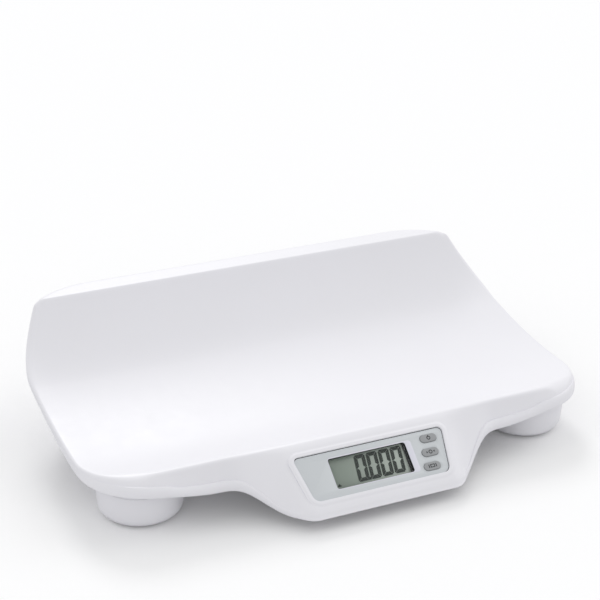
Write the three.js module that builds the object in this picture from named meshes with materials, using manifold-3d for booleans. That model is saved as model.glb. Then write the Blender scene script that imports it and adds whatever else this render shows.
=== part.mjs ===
// Tabletop electronic baby scale: a valley-shaped weighing tray on four round feet, with a
// display pod that bulges out of the front apron.
// Millimetres. X runs along the tray, Y to the rear, Z up; the origin lies on the table
// under the middle of the scale, and the four foot pads stand on Z = 0.

import * as THREE from 'three';
import Module from 'manifold-3d';
import { mergeVertices } from 'three/addons/utils/BufferGeometryUtils.js';

const wasm = await Module();
wasm.setup();

// Driving dimensions of the tray's lying surface
const halfLength = 275;
const rearEdgeY = 184;
const rearCreaseY = 154;
const rearCreaseZ = 129;
const rearRollR = 8;
const wallStartY = 75;
const wallStartZ = 65.4;
const floorLowY = -45;
const floorLowZ = 51;
const frontCreaseY = -118;
const frontCreaseZ = 62.7;
const endRise = 4;
const endRiseLength = 100;
const endRiseFromX = halfLength - endRiseLength;
const frontRiseShare = 0.5;
const rearCornerR = 95;
const frontCornerR = 60;
const trayWall = 2.8;
const sharpestShare = 0.6;

// Driving dimensions of the face plate's outline, which the pod is built round
const plateHeight = 47.5;
const plateTopHalf = 82;
const plateLean = 8.5;
const plateBottomHalf = plateTopHalf - plateLean;

// Driving dimensions of the skirt, apron, lip and display pod along the tray's edge
const rearSkirt = 16;
const endSkirt = 9;
const cornerSkirt = 13;
const shoulderDrop = 19;
const archDrop = 30;
const archReach = 12.5;
const lipFlare = 3;
const archLip = 9.5;
const endLipShare = 0.33;
const podFlankRun = 68;
const podFallInset = 13;
const podFallOutset = 10;
const podHalf = plateTopHalf;
const podFlankX = podHalf + podFlankRun;
const podDropInnerX = podHalf + podFallInset;
const podDropOuterX = podFlankX - podFallOutset;
const podDrop = 50.4;
const podLip = 5.5;
const podReach = rearEdgeY + frontCreaseY;
const flankPowerShare = 1.5;
const reachShares = [0.08, 0.18, 0.5, 0.75, 1];
const faceStartShare = reachShares[1];
const faceSlopeShare = 1.0933;
const faceLeadShare = 0.34;

// Driving dimensions of the display stack, in the tilted frame of the pod's face
const plateTopR = 5;
const plateBottomR = 8;
const plateThick = 1.2;
const plateSunk = 0.3;
const plateTopInset = 5.5;
const rimWidth = 4;
const rimHeight = 0.9;
const ledgeWidth = 1.4;
const windowLeftInset = 35;
const windowRightInset = 44.5;
const windowInsetY = 7.75;
const windowWidth = 2 * plateTopHalf - windowLeftInset - windowRightInset;
const windowHeight = plateHeight - 2 * windowInsetY;
const windowX = (windowLeftInset - windowRightInset) / 2;
const windowY = 0;
const windowR = 2.5;
const lensMargin = 3.5;
const lensThick = 1.2;
const lcdThick = 2.6;
const frameWall = 2;
const frameTail = 2;
const boardThick = 1.6;
const boardInset = 14;
const boardHalfWidth = plateTopHalf - boardInset;
const boardInsetY = 2.75;
const boardHalfHeight = plateHeight / 2 - boardInsetY;
const buttonLength = 18;
const buttonWidth = 8;
const buttonPitch = 14.5;
const buttonInset = 21.7;
const buttonMidX = plateTopHalf - buttonInset;
const buttonMidY = -0.2;
const buttonLean = 3.4;
const buttonProud = 0.9;
const buttonFlange = 1.3;
const buttonFlangeThick = 1.1;
const buttonTravel = 0.8;
const stemR = 1.6;
const stemDip = 0.5;
const switchSide = 7;
const backMargin = 4.5;
const backLean = 3;
const backTopHalf = plateTopHalf + backMargin;
const backBottomHalf = backTopHalf - backLean;
const backMarginY = 0.25;
const backHalfHeight = plateHeight / 2 + backMarginY;
const backDepth = 16;
const backWall = 2;
const backWallHeight = 9;
const backCornerR = 4;
const displayPostInset = 7;
const displayPostX = backTopHalf - displayPostInset;
const displayPostY = -4;
const displayPostR = 3;

// Driving dimensions of the base, feet and load cells
const baseZ = 38;
const baseWall = 2.5;
const baseRearInset = 66;
const baseRearY = rearEdgeY - baseRearInset;
const baseCornerR = 56;
const frontFootInsetX = 59;
const frontFootInsetY = 42.5;
const rearFootInsetX = 90;
const rearFootInsetY = 40;
const frontFootX = halfLength - frontFootInsetX;
const frontFootY = frontCreaseY + frontFootInsetY;
const rearFootX = halfLength - rearFootInsetX;
const rearFootY = baseRearY - rearFootInsetY;
const baseEndMargin = 2;
const baseFrontInset = 3.5;
const cupTopR = 44;
const cupTaper = 1.5;
const cupRound = 10.5;
const cupWaistR = cupTopR - cupTaper;
const cupWaistZ = 15;
const cupBottomR = cupWaistR - cupRound;
const cupBottomZ = 2.2;
const cupWall = 2.4;
const padInset = 2.6;
const padR = cupBottomR - padInset;
const baseHalfX = frontFootX + cupTopR + baseEndMargin;
const baseFrontY = frontFootY - cupTopR + baseFrontInset;
const padThick = 6;
const padChamfer = 0.8;
const padTravel = 0.8;
const padCollarR = 10;
const padBossR = 6;
const padBossProud = 1.2;
const shelfThick = 2;
const shelfHoleR = 14;
const cellSide = 36;
const cellThick = 2.2;
const cellCornerR = 5;
const cellSlot = 2.2;
const footPostInset = 13;
const footPostOffset = cupTopR - footPostInset;
const footPostR = 4;
const leadR = 1.3;
const leadZ = 44.4;
const leadPitch = 8;
const leadSettleShare = 0.9;

// Driving dimensions of the battery bay
const cellR = 7.1;
const cellLength = 49;
const nubR = 2.7;
const nubLength = 1.5;
const batteryPitch = 15.2;
const batteryCount = 4;
const bayHalfX = 31.2;
const bayHalfY = 29.6;
const bayWall = 2.2;
const bayBottomZ = 18.6;
const railDepth = 1.8;
const railReach = 2.6;
const doorThick = 2;
const doorGripHeight = 1;
const doorGripWidth = 1.4;
const doorGripLength = 30;
const doorGripPitch = 3.6;
const doorGripCount = 4;
const contactThick = 0.6;
const contactWidth = 11;
const contactHeight = 12;
const springR = 4.2;
const springTipR = 2.4;

// Driving dimensions of the screws and of every fit
const clearance = 0.3;
const overrun = 1;
const weldGap = 0.00001;
const screwR = 1.5;
const screwHeadR = 2.8;
const screwHead = 2;
const baseScrewLength = 10.5;
const footScrewLength = 10;
const displayScrewLength = 7;
const baseBossR = 4.5;
const basePostR = 5.5;
const basePostTop = 44;
const counterboreZ = 41.5;
const screwFrontInset = 18;
const screwMidInset = 22;
const screwRearInset = 20;
const screwFrontX = 130;
const screwFrontY = baseFrontY + screwFrontInset;
const screwMidX = baseHalfX - screwMidInset;
const screwMidY = 12;
const screwRearX = 125;
const screwRearY = baseRearY - screwRearInset;
const blindEnd = 0.6;

// Numbers of steps, which set only how smooth the curves are
const rollSteps = 2;
const wallSteps = 5;
const floorSteps = 3;
const cornerSteps = 5;
const podSteps = 2;
const flankSteps = 6;
const shoulderSteps = 2;
const roundSteps = 20;
const holeSides = 8;
const arcSteps = 4;
const leadSides = 6;
const leadStepsPerPoint = 2;

// Finishes
const plastic = (color, roughness = 0.4) =>
  new THREE.MeshStandardMaterial({ color, roughness, metalness: 0 });
const metal = (color, roughness = 0.35) =>
  new THREE.MeshStandardMaterial({ color, roughness, metalness: 1 });
const whitePlastic = plastic(0xf1f1f4);
const greyPlastic = plastic(0xc3c8ca, 0.45);
const buttonPlastic = plastic(0xa4a7aa, 0.5);
const rubber = plastic(0x3a3b3d, 0.8);
const boardGreen = plastic(0x2f6b45, 0.55);
const lcdGlass = plastic(0x9aa697, 0.2);
const lensClear = plastic(0xd5dbd2, 0.05);
const darkPlastic = plastic(0x2b2d30, 0.5);
const leadJacket = plastic(0xd9d9dc, 0.6);
const batteryJacket = plastic(0x5b7486, 0.35);
const steel = metal(0xb9bcc0);

// A ramp that leaves 0 and reaches 1 without a kink
function smooth(value, from, to) {
  const t = Math.min(1, Math.max(0, (value - from) / (to - from)));
  return t * t * (3 - 2 * t);
}

const mix = (a, b, t) => a + (b - a) * t;

function steps(from, to, count) {
  return Array.from({ length: count }, (_, i) => mix(from, to, (i + 1) / count));
}

// Closed geometry to solid, and back
function solid(geometry) {
  const plain = geometry.clone();
  plain.deleteAttribute('normal');
  plain.deleteAttribute('uv');
  const merged = mergeVertices(plain, weldGap);
  return new wasm.Manifold(new wasm.Mesh({
    numProp: 3,
    vertProperties: new Float32Array(merged.attributes.position.array),
    triVerts: new Uint32Array(merged.index.array),
  }));
}

function geometryOf(body) {
  const mesh = body.getMesh();
  const geometry = new THREE.BufferGeometry();
  const positions = new Float32Array(mesh.vertProperties);
  geometry.setAttribute('position', new THREE.BufferAttribute(positions, 3));
  geometry.setIndex(new THREE.BufferAttribute(new Uint32Array(mesh.triVerts), 1));
  return geometry;
}

const join = (bodies) => bodies.reduce((all, body) => all.add(body));
const cut = (body, tools) => tools.reduce((left, tool) => left.subtract(tool), body);

const scale = new THREE.Group();

function addPiece(name, shape, material, parent = scale) {
  const geometry = shape.isBufferGeometry ? shape : geometryOf(shape);
  const mesh = new THREE.Mesh(geometry, material);
  mesh.name = name;
  parent.add(mesh);
  return mesh;
}

// Upright cylinder between two heights
function rod(radius, x, y, low, high, sides = roundSteps) {
  const geometry = new THREE.CylinderGeometry(radius, radius, high - low, sides);
  geometry.rotateX(Math.PI / 2);
  geometry.translate(x, y, (low + high) / 2);
  return solid(geometry);
}

// Box between two corners
function block(low, high) {
  const geometry = new THREE.BoxGeometry(high[0] - low[0], high[1] - low[1], high[2] - low[2]);
  geometry.translate((low[0] + high[0]) / 2, (low[1] + high[1]) / 2, (low[2] + high[2]) / 2);
  return solid(geometry);
}

function extrude(shape, low, high) {
  const geometry = new THREE.ExtrudeGeometry(shape, {
    depth: high - low, bevelEnabled: false, curveSegments: arcSteps, steps: 1,
  });
  geometry.translate(0, 0, low);
  return solid(geometry);
}

// Polygon whose corners are rounded, each with its own radius
function roundedPolygon(corners, radii) {
  const shape = new THREE.Shape();
  corners.forEach((corner, i) => {
    const before = corners[(i + corners.length - 1) % corners.length];
    const after = corners[(i + 1) % corners.length];
    const p = new THREE.Vector2(...corner);
    const back = new THREE.Vector2(...before).sub(p).normalize();
    const on = new THREE.Vector2(...after).sub(p).normalize();
    const reach = radii[i] / Math.tan(Math.acos(back.dot(on)) / 2);
    const start = p.clone().addScaledVector(back, reach);
    const end = p.clone().addScaledVector(on, reach);
    if (i === 0) shape.moveTo(start.x, start.y);
    else shape.lineTo(start.x, start.y);
    shape.quadraticCurveTo(p.x, p.y, end.x, end.y);
  });
  shape.closePath();
  return shape;
}

function roundedBox(halfX, halfY, radius, x = 0, y = 0) {
  const [left, right, front, rear] = [x - halfX, x + halfX, y - halfY, y + halfY];
  const corners = [[left, front], [right, front], [right, rear], [left, rear]];
  return roundedPolygon(corners, corners.map(() => radius));
}

// The tray's lying surface, as heights over its plan.
// The front rise and the floor are parabolas, and the rear wall is an arc that leaves the
// floor along its slope and ends at the rear crease.
const floorSlopeAtWall = 2 * (wallStartZ - floorLowZ) / (wallStartY - floorLowY);
const wallTilt = Math.atan(floorSlopeAtWall);
const wallDY = rearCreaseY - wallStartY;
const wallDZ = rearCreaseZ - wallStartZ;
const wallBulge = wallDZ * Math.cos(wallTilt) - wallDY * Math.sin(wallTilt);
const wallR = (wallDY ** 2 + wallDZ ** 2) / (2 * wallBulge);
const wallTop = Math.asin(Math.sin(wallTilt) + wallDY / wallR);
const rollY = rearEdgeY - rearRollR;

function heightAtY(y) {
  if (y >= rollY) return rearCreaseZ - rearRollR + Math.sqrt(Math.max(0, rearRollR ** 2 - (y - rollY) ** 2));
  if (y >= rearCreaseY) return rearCreaseZ;
  if (y >= wallStartY) {
    const angle = Math.asin(Math.sin(wallTilt) + (y - wallStartY) / wallR);
    return wallStartZ + wallR * (Math.cos(wallTilt) - Math.cos(angle));
  }
  const [edgeY, edgeZ] = y > floorLowY ? [wallStartY, wallStartZ] : [frontCreaseY, frontCreaseZ];
  return floorLowZ + (edgeZ - floorLowZ) * ((y - floorLowY) / (edgeY - floorLowY)) ** 2;
}

function trayHeight(x, y) {
  const out = Math.max(0, (Math.abs(x) - endRiseFromX) / (halfLength - endRiseFromX));
  const along = y > floorLowY
    ? 1 - Math.min(1, (y - floorLowY) / (rearCreaseY - floorLowY)) ** 2
    : 1 - frontRiseShare * ((y - floorLowY) / (frontCreaseY - floorLowY)) ** 2;
  return heightAtY(y) + endRise * out ** 2 * along;
}

function halfWidthAt(y) {
  const rearStart = rearEdgeY - rearCornerR;
  const frontStart = frontCreaseY + frontCornerR;
  if (y > rearStart) {
    return halfLength - rearCornerR + Math.sqrt(Math.max(0, rearCornerR ** 2 - (y - rearStart) ** 2));
  }
  if (y < frontStart) {
    return halfLength - frontCornerR + Math.sqrt(Math.max(0, frontCornerR ** 2 - (frontStart - y) ** 2));
  }
  return halfLength;
}

// Rows of the surface from the rear edge to the front crease, and columns from the middle out
const quarter = Math.PI / 2;
const rowsY = [
  rearEdgeY,
  ...steps(quarter, 0, rollSteps).map((angle) => rollY + rearRollR * Math.sin(angle)),
  (rollY + rearCreaseY) / 2,
  rearCreaseY,
  ...steps(wallTop, wallTilt, wallSteps)
    .map((angle) => wallStartY + wallR * (Math.sin(angle) - Math.sin(wallTilt))),
  ...steps(wallStartY, floorLowY, floorSteps),
  ...steps(0, quarter, cornerSteps).map((angle) => frontCreaseY + frontCornerR * (1 - Math.sin(angle))),
];
const cornerX = halfLength - frontCornerR;
const halfColumns = [
  ...steps(0, podHalf, podSteps),
  ...steps(podHalf, podFlankX, flankSteps),
  ...steps(podFlankX, cornerX, shoulderSteps),
];
const columnsX = [...halfColumns.map((x) => -x).reverse(), 0, ...halfColumns];

function columnAt(column, width) {
  const x = Math.abs(column);
  if (x <= podFlankX) return column;
  return Math.sign(column) * mix(podFlankX, width, (x - podFlankX) / (cornerX - podFlankX));
}

// How far the edge reaches out and drops at a place on the tray's outline, lip included
function edgeAt(point) {
  const x = Math.abs(point.x);
  const frontStart = frontCreaseY + frontCornerR;
  if (point.y > frontStart) {
    const end = mix(endSkirt, cornerSkirt, smooth(point.y, wallStartY, frontStart));
    const rear = mix(end, rearSkirt, smooth(point.y, wallStartY, rearCreaseY));
    const drop = point.y > rearCreaseY ? point.z - (rearCreaseZ - rearSkirt) : rear;
    return { reach: 0, drop, lip: drop * endLipShare, flare: 0 };
  }
  const round = x < cornerX ? 1 : Math.atan2(frontStart - point.y, x - cornerX) / quarter;
  const turn = smooth(round, 0, 1);
  const pod = Math.min(1, Math.max(0, (podFlankX - x) / (podFlankX - podHalf))) ** flankPowerShare;
  const podFall = smooth(x, podDropOuterX, podDropInnerX);
  const shoulder = smooth(x, halfLength - frontCornerR / 2, podFlankX);
  const arch = mix(mix(cornerSkirt, shoulderDrop, turn), archDrop, shoulder);
  const drop = mix(arch, podDrop, podFall);
  return {
    reach: mix(turn * archReach, podReach, pod),
    drop,
    lip: mix(Math.min(archLip, drop * endLipShare), podLip, podFall),
    flare: turn * lipFlare,
  };
}

// Share of the drop that the apron has made at a share of its reach: a soft start under the
// crease, then the plane that carries the display
function dropShare(share) {
  const onFace = 1 - faceSlopeShare * (1 - share);
  const start = 1 - faceSlopeShare * (1 - faceStartShare);
  return share < faceStartShare ? start * faceLeadShare : onFace;
}

// Grid of the upper surface, and the rings that go out and down from its outline
function traySurface() {
  const grid = rowsY.map((y) => {
    const width = halfWidthAt(y);
    return columnsX.map((column) => {
      const x = columnAt(column, width);
      return new THREE.Vector3(x, y, trayHeight(x, y));
    });
  });
  const last = columnsX.length - 1;
  const front = rowsY.length - 1;
  const inner = rowsY.slice(1, -1).map((_, i) => i + 1);
  const loop = [
    ...columnsX.map((_, c) => [0, c]),
    ...inner.map((r) => [r, last]),
    ...columnsX.map((_, c) => [front, last - c]),
    ...inner.reverse().map((r) => [r, 0]),
  ];
  const outline = loop.map(([r, c]) => grid[r][c]);
  const outward = outline.map((point, k) => {
    const next = outline[(k + 1) % outline.length];
    const before = outline[(k + outline.length - 1) % outline.length];
    const onFront = loop[k][0] === front;
    const along = onFront ? new THREE.Vector3(-1, 0, 0) : next.clone().sub(before).setZ(0).normalize();
    return new THREE.Vector3(-along.y, along.x, 0);
  });
  const rings = reachShares.map((share, ring) => outline.map((point, k) => {
    const edge = edgeAt(point);
    const out = (edge.reach - edge.flare) * share;
    const evenly = (ring + 1) / reachShares.length;
    const downShare = mix(evenly, dropShare(share), Math.min(1, edge.reach / archReach));
    const down = (edge.drop - edge.lip) * downShare;
    return point.clone().addScaledVector(outward[k], out).add(new THREE.Vector3(0, 0, -down));
  }));
  rings.push(outline.map((point, k) => {
    const edge = edgeAt(point);
    return point.clone().addScaledVector(outward[k], edge.reach).add(new THREE.Vector3(0, 0, -edge.drop));
  }));
  return { grid, loop, rings, outward };
}

// Triangles of the outer skin, over one list of points
function traySkin() {
  const { grid, loop, rings, outward } = traySurface();
  const width = columnsX.length;
  const points = [...grid.flat(), ...rings.flat()];
  const faces = [];
  const quad = (a, b, c, d) => faces.push([a, b, c], [a, c, d]);
  for (let r = 0; r + 1 < grid.length; r += 1) {
    for (let c = 0; c + 1 < width; c += 1) {
      quad(r * width + c, (r + 1) * width + c, (r + 1) * width + c + 1, r * width + c + 1);
    }
  }
  const first = grid.length * width;
  const level = (l, k) => (l === 0
    ? loop[k % loop.length][0] * width + loop[k % loop.length][1]
    : first + (l - 1) * loop.length + (k % loop.length));
  for (let l = 0; l < rings.length; l += 1) {
    for (let k = 0; k < loop.length; k += 1) {
      quad(level(l, k), level(l, k + 1), level(l + 1, k + 1), level(l + 1, k));
    }
  }
  const rim = loop.map((_, k) => level(rings.length, k));
  return { points, faces, rim, gridFaces: 2 * (grid.length - 1) * (width - 1), grid, loop, outward };
}

// Each point moved inwards, so that the faces around it all move by the same depth; at a sharp
// point the move is kept within bounds
function offsetPoints(points, faces, depth) {
  const sums = points.map(() => new THREE.Vector3());
  const around = points.map(() => []);
  faces.forEach((face) => {
    const [a, b, c] = face.map((i) => points[i]);
    const normal = b.clone().sub(a).cross(c.clone().sub(a)).normalize();
    face.forEach((i, corner) => {
      const p = points[i];
      const u = points[face[(corner + 1) % 3]].clone().sub(p);
      const v = points[face[(corner + 2) % 3]].clone().sub(p);
      sums[i].addScaledVector(normal, u.angleTo(v));
      around[i].push(normal);
    });
  });
  return points.map((point, i) => {
    const normal = sums[i].clone().normalize();
    const least = around[i].reduce((low, other) => Math.min(low, other.dot(normal)), 1);
    return point.clone().addScaledVector(normal, -depth / Math.max(sharpestShare, least));
  });
}

function closedGeometry(points, faces) {
  const geometry = new THREE.BufferGeometry();
  const positions = points.flatMap((p) => [p.x, p.y, p.z]);
  geometry.setAttribute('position', new THREE.Float32BufferAttribute(positions, 3));
  geometry.setIndex(faces.flat());
  return geometry;
}

const skin = traySkin();

function trayShell() {
  const inside = offsetPoints(skin.points, skin.faces, trayWall);
  const shift = skin.points.length;
  const edge = skin.rim.map((outer, k) => {
    const next = skin.rim[(k + 1) % skin.rim.length];
    return [[outer, next, next + shift], [outer, next + shift, outer + shift]];
  }).flat();
  const back = skin.faces.map(([a, b, c]) => [a + shift, c + shift, b + shift]);
  return solid(closedGeometry([...skin.points, ...inside], [...skin.faces, ...back, ...edge]));
}

// Everything above the tray's lying surface lowered by a depth, and a little past its outline;
// it trims what stands under the tray
function spaceAbove(depth) {
  const width = columnsX.length;
  const gridFaces = skin.faces.slice(0, skin.gridFaces);
  const gridCount = skin.grid.length * width;
  const lowered = offsetPoints(skin.points, skin.faces, depth).slice(0, gridCount);
  skin.loop.forEach(([r, c], k) => {
    const { x, y } = skin.grid[r][c].clone().addScaledVector(skin.outward[k], trayWall);
    lowered[r * width + c].set(x, y, lowered[r * width + c].z);
  });
  const ceiling = rearCreaseZ + rearSkirt;
  const top = skin.grid.flat().map((p, i) => new THREE.Vector3(lowered[i].x, lowered[i].y, ceiling));
  const loop = skin.loop.map(([r, c]) => r * width + c);
  const walls = loop.map((a, k) => {
    const b = loop[(k + 1) % loop.length];
    return [[a, b + gridCount, b], [a, a + gridCount, b + gridCount]];
  }).flat();
  const down = gridFaces.map(([a, b, c]) => [a, c, b]);
  const up = gridFaces.map(([a, b, c]) => [a + gridCount, b + gridCount, c + gridCount]);
  return solid(closedGeometry([...lowered, ...top], [...down, ...up, ...walls]));
}

// The tilted frame of the pod's face: its origin is the middle of the face plate
const faceReach = podReach - lipFlare;
const faceDrop = podDrop - podLip;
const faceTilt = Math.atan2(faceSlopeShare * faceDrop, faceReach);
const plateCentreDown = plateTopInset + plateHeight / 2;
const faceTopY = frontCreaseY - faceReach * faceStartShare;
const faceTopZ = frontCreaseZ - faceDrop * dropShare(faceStartShare);
const face = new THREE.Group();
face.position.set(
  0,
  faceTopY - plateCentreDown * Math.cos(faceTilt),
  faceTopZ - plateCentreDown * Math.sin(faceTilt),
);
face.rotation.x = faceTilt;
face.updateMatrix();
scale.add(face);

const onFace = (body) => {
  const geometry = geometryOf(body);
  geometry.applyMatrix4(face.matrix);
  return solid(geometry);
};

// The face plate's outline, grown outwards by a margin
function plateOutline(grow) {
  const lean = (plateTopHalf - plateBottomHalf) / plateHeight;
  const side = grow * Math.hypot(1, lean);
  const top = plateTopHalf + lean * grow + side;
  const bottom = plateBottomHalf - lean * grow + side;
  const half = plateHeight / 2 + grow;
  const radii = [plateBottomR, plateBottomR, plateTopR, plateTopR].map((r) => r + grow);
  return roundedPolygon([[-bottom, -half], [bottom, -half], [top, half], [-top, half]], radii);
}

const plateTop = -plateSunk;
const plateBack = plateTop - plateThick;
const pocketFloor = plateBack - clearance;

// Screws: one shape, set with its head down or up
function screw(length) {
  const profile = [
    [0, 0], [screwR, 0], [screwR, length], [screwHeadR, length], [screwHeadR, length + screwHead / 2],
    [screwHeadR - screwHead / 2, length + screwHead], [0, length + screwHead],
  ].map(([r, z]) => new THREE.Vector2(r, z));
  const geometry = new THREE.LatheGeometry(profile, holeSides);
  geometry.rotateX(Math.PI / 2);
  return geometry;
}

const mirrored = (x, y, name) => [[-x, y, `${name}_left`], [x, y, `${name}_right`]];
const baseScrews = [
  ...mirrored(screwFrontX, screwFrontY, 'front'),
  ...mirrored(screwMidX, screwMidY, 'mid'),
  ...mirrored(screwRearX, screwRearY, 'rear'),
];
const feet = [
  ...mirrored(frontFootX, frontFootY, 'front'),
  ...mirrored(rearFootX, rearFootY, 'rear'),
];

// Tray shell: skin, display rim and pocket, bosses for the base screws and the display posts
const baseScrewSeat = counterboreZ - clearance;
const baseScrewTip = baseScrewSeat + baseScrewLength;
const backFloor = -backDepth + backWall;
function makeTray() {
  const belowSkin = spaceAbove(trayWall / 2);
  const bosses = baseScrews.map(([x, y]) => cut(
    rod(baseBossR, x, y, basePostTop + clearance, rearCreaseZ),
    [belowSkin, rod(screwR + clearance, x, y, baseZ, baseScrewTip + blindEnd, holeSides)],
  ));
  const rim = cut(
    extrude(plateOutline(clearance + rimWidth), -trayWall, rimHeight),
    [extrude(plateOutline(clearance), -trayWall, rimHeight + overrun)],
  );
  const displayScrewEnd = -backDepth + displayScrewLength + blindEnd;
  const posts = [-1, 1].map((side) => cut(
    rod(displayPostR, side * displayPostX, displayPostY, backFloor + clearance, -trayWall / 2),
    [rod(screwR + clearance, side * displayPostX, displayPostY, -backDepth, displayScrewEnd, holeSides)],
  ));
  const pocket = extrude(plateOutline(clearance), pocketFloor, rimHeight + overrun);
  const opening = extrude(plateOutline(-ledgeWidth), -backDepth, rimHeight);
  const shell = join([trayShell(), ...bosses, onFace(rim), ...posts.map(onFace)]);
  return cut(shell, [onFace(pocket), onFace(opening)]);
}

addPiece('tray_shell', makeTray(), whitePlastic);

// Base cover: a pan that follows the tray's underside, with the battery bay below its floor
const baseMidY = (baseFrontY + baseRearY) / 2;
const baseHalfY = (baseRearY - baseFrontY) / 2;
const doorTop = bayBottomZ + railDepth + clearance + doorThick;
const baseFloor = baseZ + baseWall;
const leadSlotHalf = 3 * leadPitch;
const footPosts = [-1, 1];

function makeBase() {
  const pan = cut(extrude(roundedBox(baseHalfX, baseHalfY, baseCornerR, 0, baseMidY), baseZ, rearCreaseZ), [
    extrude(roundedBox(baseHalfX - baseWall, baseHalfY - baseWall, baseCornerR - baseWall, 0, baseMidY),
      baseFloor, rearCreaseZ + overrun),
    spaceAbove(trayWall + clearance),
  ]);
  const posts = baseScrews.map(([x, y]) => rod(basePostR, x, y, baseZ, basePostTop));
  const bayOuterX = bayHalfX + bayWall;
  const bayOuterY = bayHalfY + bayWall;
  const bay = cut(
    block([-bayOuterX, -bayOuterY, bayBottomZ], [bayOuterX, bayOuterY, baseFloor]),
    [
      block([-bayHalfX, -bayHalfY, doorTop], [bayHalfX, bayHalfY, baseZ]),
      block([-bayHalfX, -bayHalfY, bayBottomZ + railDepth],
        [bayHalfX, bayOuterY + overrun, doorTop + clearance]),
      block([-bayHalfX + railReach, -bayHalfY, bayBottomZ - overrun],
        [bayHalfX - railReach, bayOuterY + overrun, doorTop]),
    ],
  );
  const screwHoles = baseScrews.flatMap(([x, y]) => [
    rod(screwR + clearance, x, y, baseZ - overrun, basePostTop + overrun, holeSides),
    rod(screwHeadR + clearance, x, y, baseZ - overrun, counterboreZ),
  ]);
  const footHoles = feet.flatMap(([x, y]) => [
    rod(leadR + clearance + leadR, x, y, baseZ - overrun, baseFloor + overrun, holeSides),
    ...footPosts.map((side) => rod(screwR + clearance, x + side * footPostOffset, y, baseZ - overrun,
      baseFloor + overrun, holeSides)),
  ]);
  const leadSlot = block(
    [-leadSlotHalf, baseFrontY - overrun, baseFloor + overrun],
    [leadSlotHalf, baseFrontY + baseWall + overrun, frontCreaseZ],
  );
  const batteryHole = rod(leadR + clearance + leadR, 0, batteryLeadY, baseZ - overrun, baseFloor + overrun,
    holeSides);
  return cut(join([pan, ...posts, bay]), [...screwHoles, ...footHoles, leadSlot, batteryHole]);
}

const batteryLeadY = -bayHalfY + 2 * leadR;
addPiece('base_cover', makeBase(), whitePlastic);

baseScrews.forEach(([x, y, place]) => {
  const piece = addPiece(`base_screw_${place}`, screw(baseScrewLength), steel);
  piece.rotation.x = Math.PI;
  piece.position.set(x, y, baseScrewTip);
});

// Feet: cup under the base, load cell on its shelf, pad that carries the weight
const shelfZ = padThick + padTravel + clearance;
const loadCellZ = shelfZ + shelfThick + clearance;
const footScrewTip = baseFloor + clearance - footScrewLength;
function makeCup() {
  const bend = new THREE.QuadraticBezierCurve(
    new THREE.Vector2(cupBottomR, cupBottomZ),
    new THREE.Vector2(cupWaistR, cupBottomZ),
    new THREE.Vector2(cupWaistR, cupWaistZ),
  ).getPoints(arcSteps);
  const cupTopZ = baseZ - clearance;
  const top = new THREE.Vector2(cupTopR, cupTopZ);
  const inner = [...bend, top].map((p) => new THREE.Vector2(p.x - cupWall, Math.max(p.y, shelfZ + shelfThick)));
  const inside = inner.filter((p, i) => i > 0 && p.y > shelfZ + shelfThick).reverse();
  const hole = padR + clearance;
  const profile = [
    new THREE.Vector2(hole, cupBottomZ), ...bend, top, ...inside,
    new THREE.Vector2(inside[inside.length - 1].x, shelfZ + shelfThick),
    new THREE.Vector2(shelfHoleR, shelfZ + shelfThick), new THREE.Vector2(shelfHoleR, shelfZ),
    new THREE.Vector2(hole, shelfZ), new THREE.Vector2(hole, cupBottomZ),
  ];
  const geometry = new THREE.LatheGeometry(profile, roundSteps);
  geometry.rotateX(Math.PI / 2);
  const postFoot = shelfZ + shelfThick / 2;
  const posts = footPosts.map((side) => rod(footPostR, side * footPostOffset, 0, postFoot, cupTopZ, holeSides));
  const holes = footPosts.map((side) => rod(screwR + clearance, side * footPostOffset, 0,
    footScrewTip - blindEnd, cupTopZ + overrun, holeSides));
  return cut(join([solid(geometry), ...posts]), holes);
}

// A pad lifts by its travel until its collar bears on the load cell
function makePad() {
  const collarTop = loadCellZ - clearance - padTravel;
  const bossTop = loadCellZ + padBossProud;
  const profile = [
    [0, 0], [padR - padChamfer, 0], [padR, padChamfer], [padR, padThick], [padCollarR, padThick],
    [padCollarR, collarTop], [padBossR, collarTop], [padBossR, bossTop], [0, bossTop],
  ].map(([r, z]) => new THREE.Vector2(r, z));
  const geometry = new THREE.LatheGeometry(profile, roundSteps);
  geometry.rotateX(Math.PI / 2);
  return geometry;
}

// The cell is a steel plate with a slotted tongue round the pad's boss
function makeLoadCell() {
  const half = cellSide / 2;
  const slot = (side) => block(
    [side * half / 2 - cellSlot / 2, -half / 2, -overrun],
    [side * half / 2 + cellSlot / 2, half / 2, cellThick + overrun],
  );
  return cut(extrude(roundedBox(half, half, cellCornerR), 0, cellThick), [
    rod(padBossR + clearance, 0, 0, -overrun, cellThick + overrun, 2 * holeSides), slot(-1), slot(1),
  ]);
}

const cupBody = geometryOf(makeCup());
const cellBody = geometryOf(makeLoadCell());
feet.forEach(([x, y, place]) => {
  addPiece(`foot_cup_${place}`, cupBody, whitePlastic).position.set(x, y, 0);
  addPiece(`foot_pad_${place}`, makePad(), rubber).position.set(x, y, 0);
  addPiece(`load_cell_${place}`, cellBody, steel).position.set(x, y, loadCellZ);
  footPosts.forEach((side) => {
    const name = `foot_screw_${place}_${side < 0 ? 'a' : 'b'}`;
    addPiece(name, screw(footScrewLength), steel).position.set(x + side * footPostOffset, y, footScrewTip);
  });
});

// Display pod: face plate, lens, liquid crystal panel in its frame, board, buttons and back cover
const lensTop = plateBack - clearance;
const lensBack = lensTop - lensThick;
const lcdTop = lensBack - clearance;
const lcdBack = lcdTop - lcdThick;
const frameBack = lcdBack - frameTail;
const boardTop = frameBack - clearance;
const boardBack = boardTop - boardThick;
const lensHalfX = windowWidth / 2 + lensMargin;
const lensHalfY = windowHeight / 2 + lensMargin;
const buttons = [1, 0, -1].map((step, i) => [
  buttonMidX + step * buttonLean, buttonMidY + step * buttonPitch, `button_${i + 1}`,
]);

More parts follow.
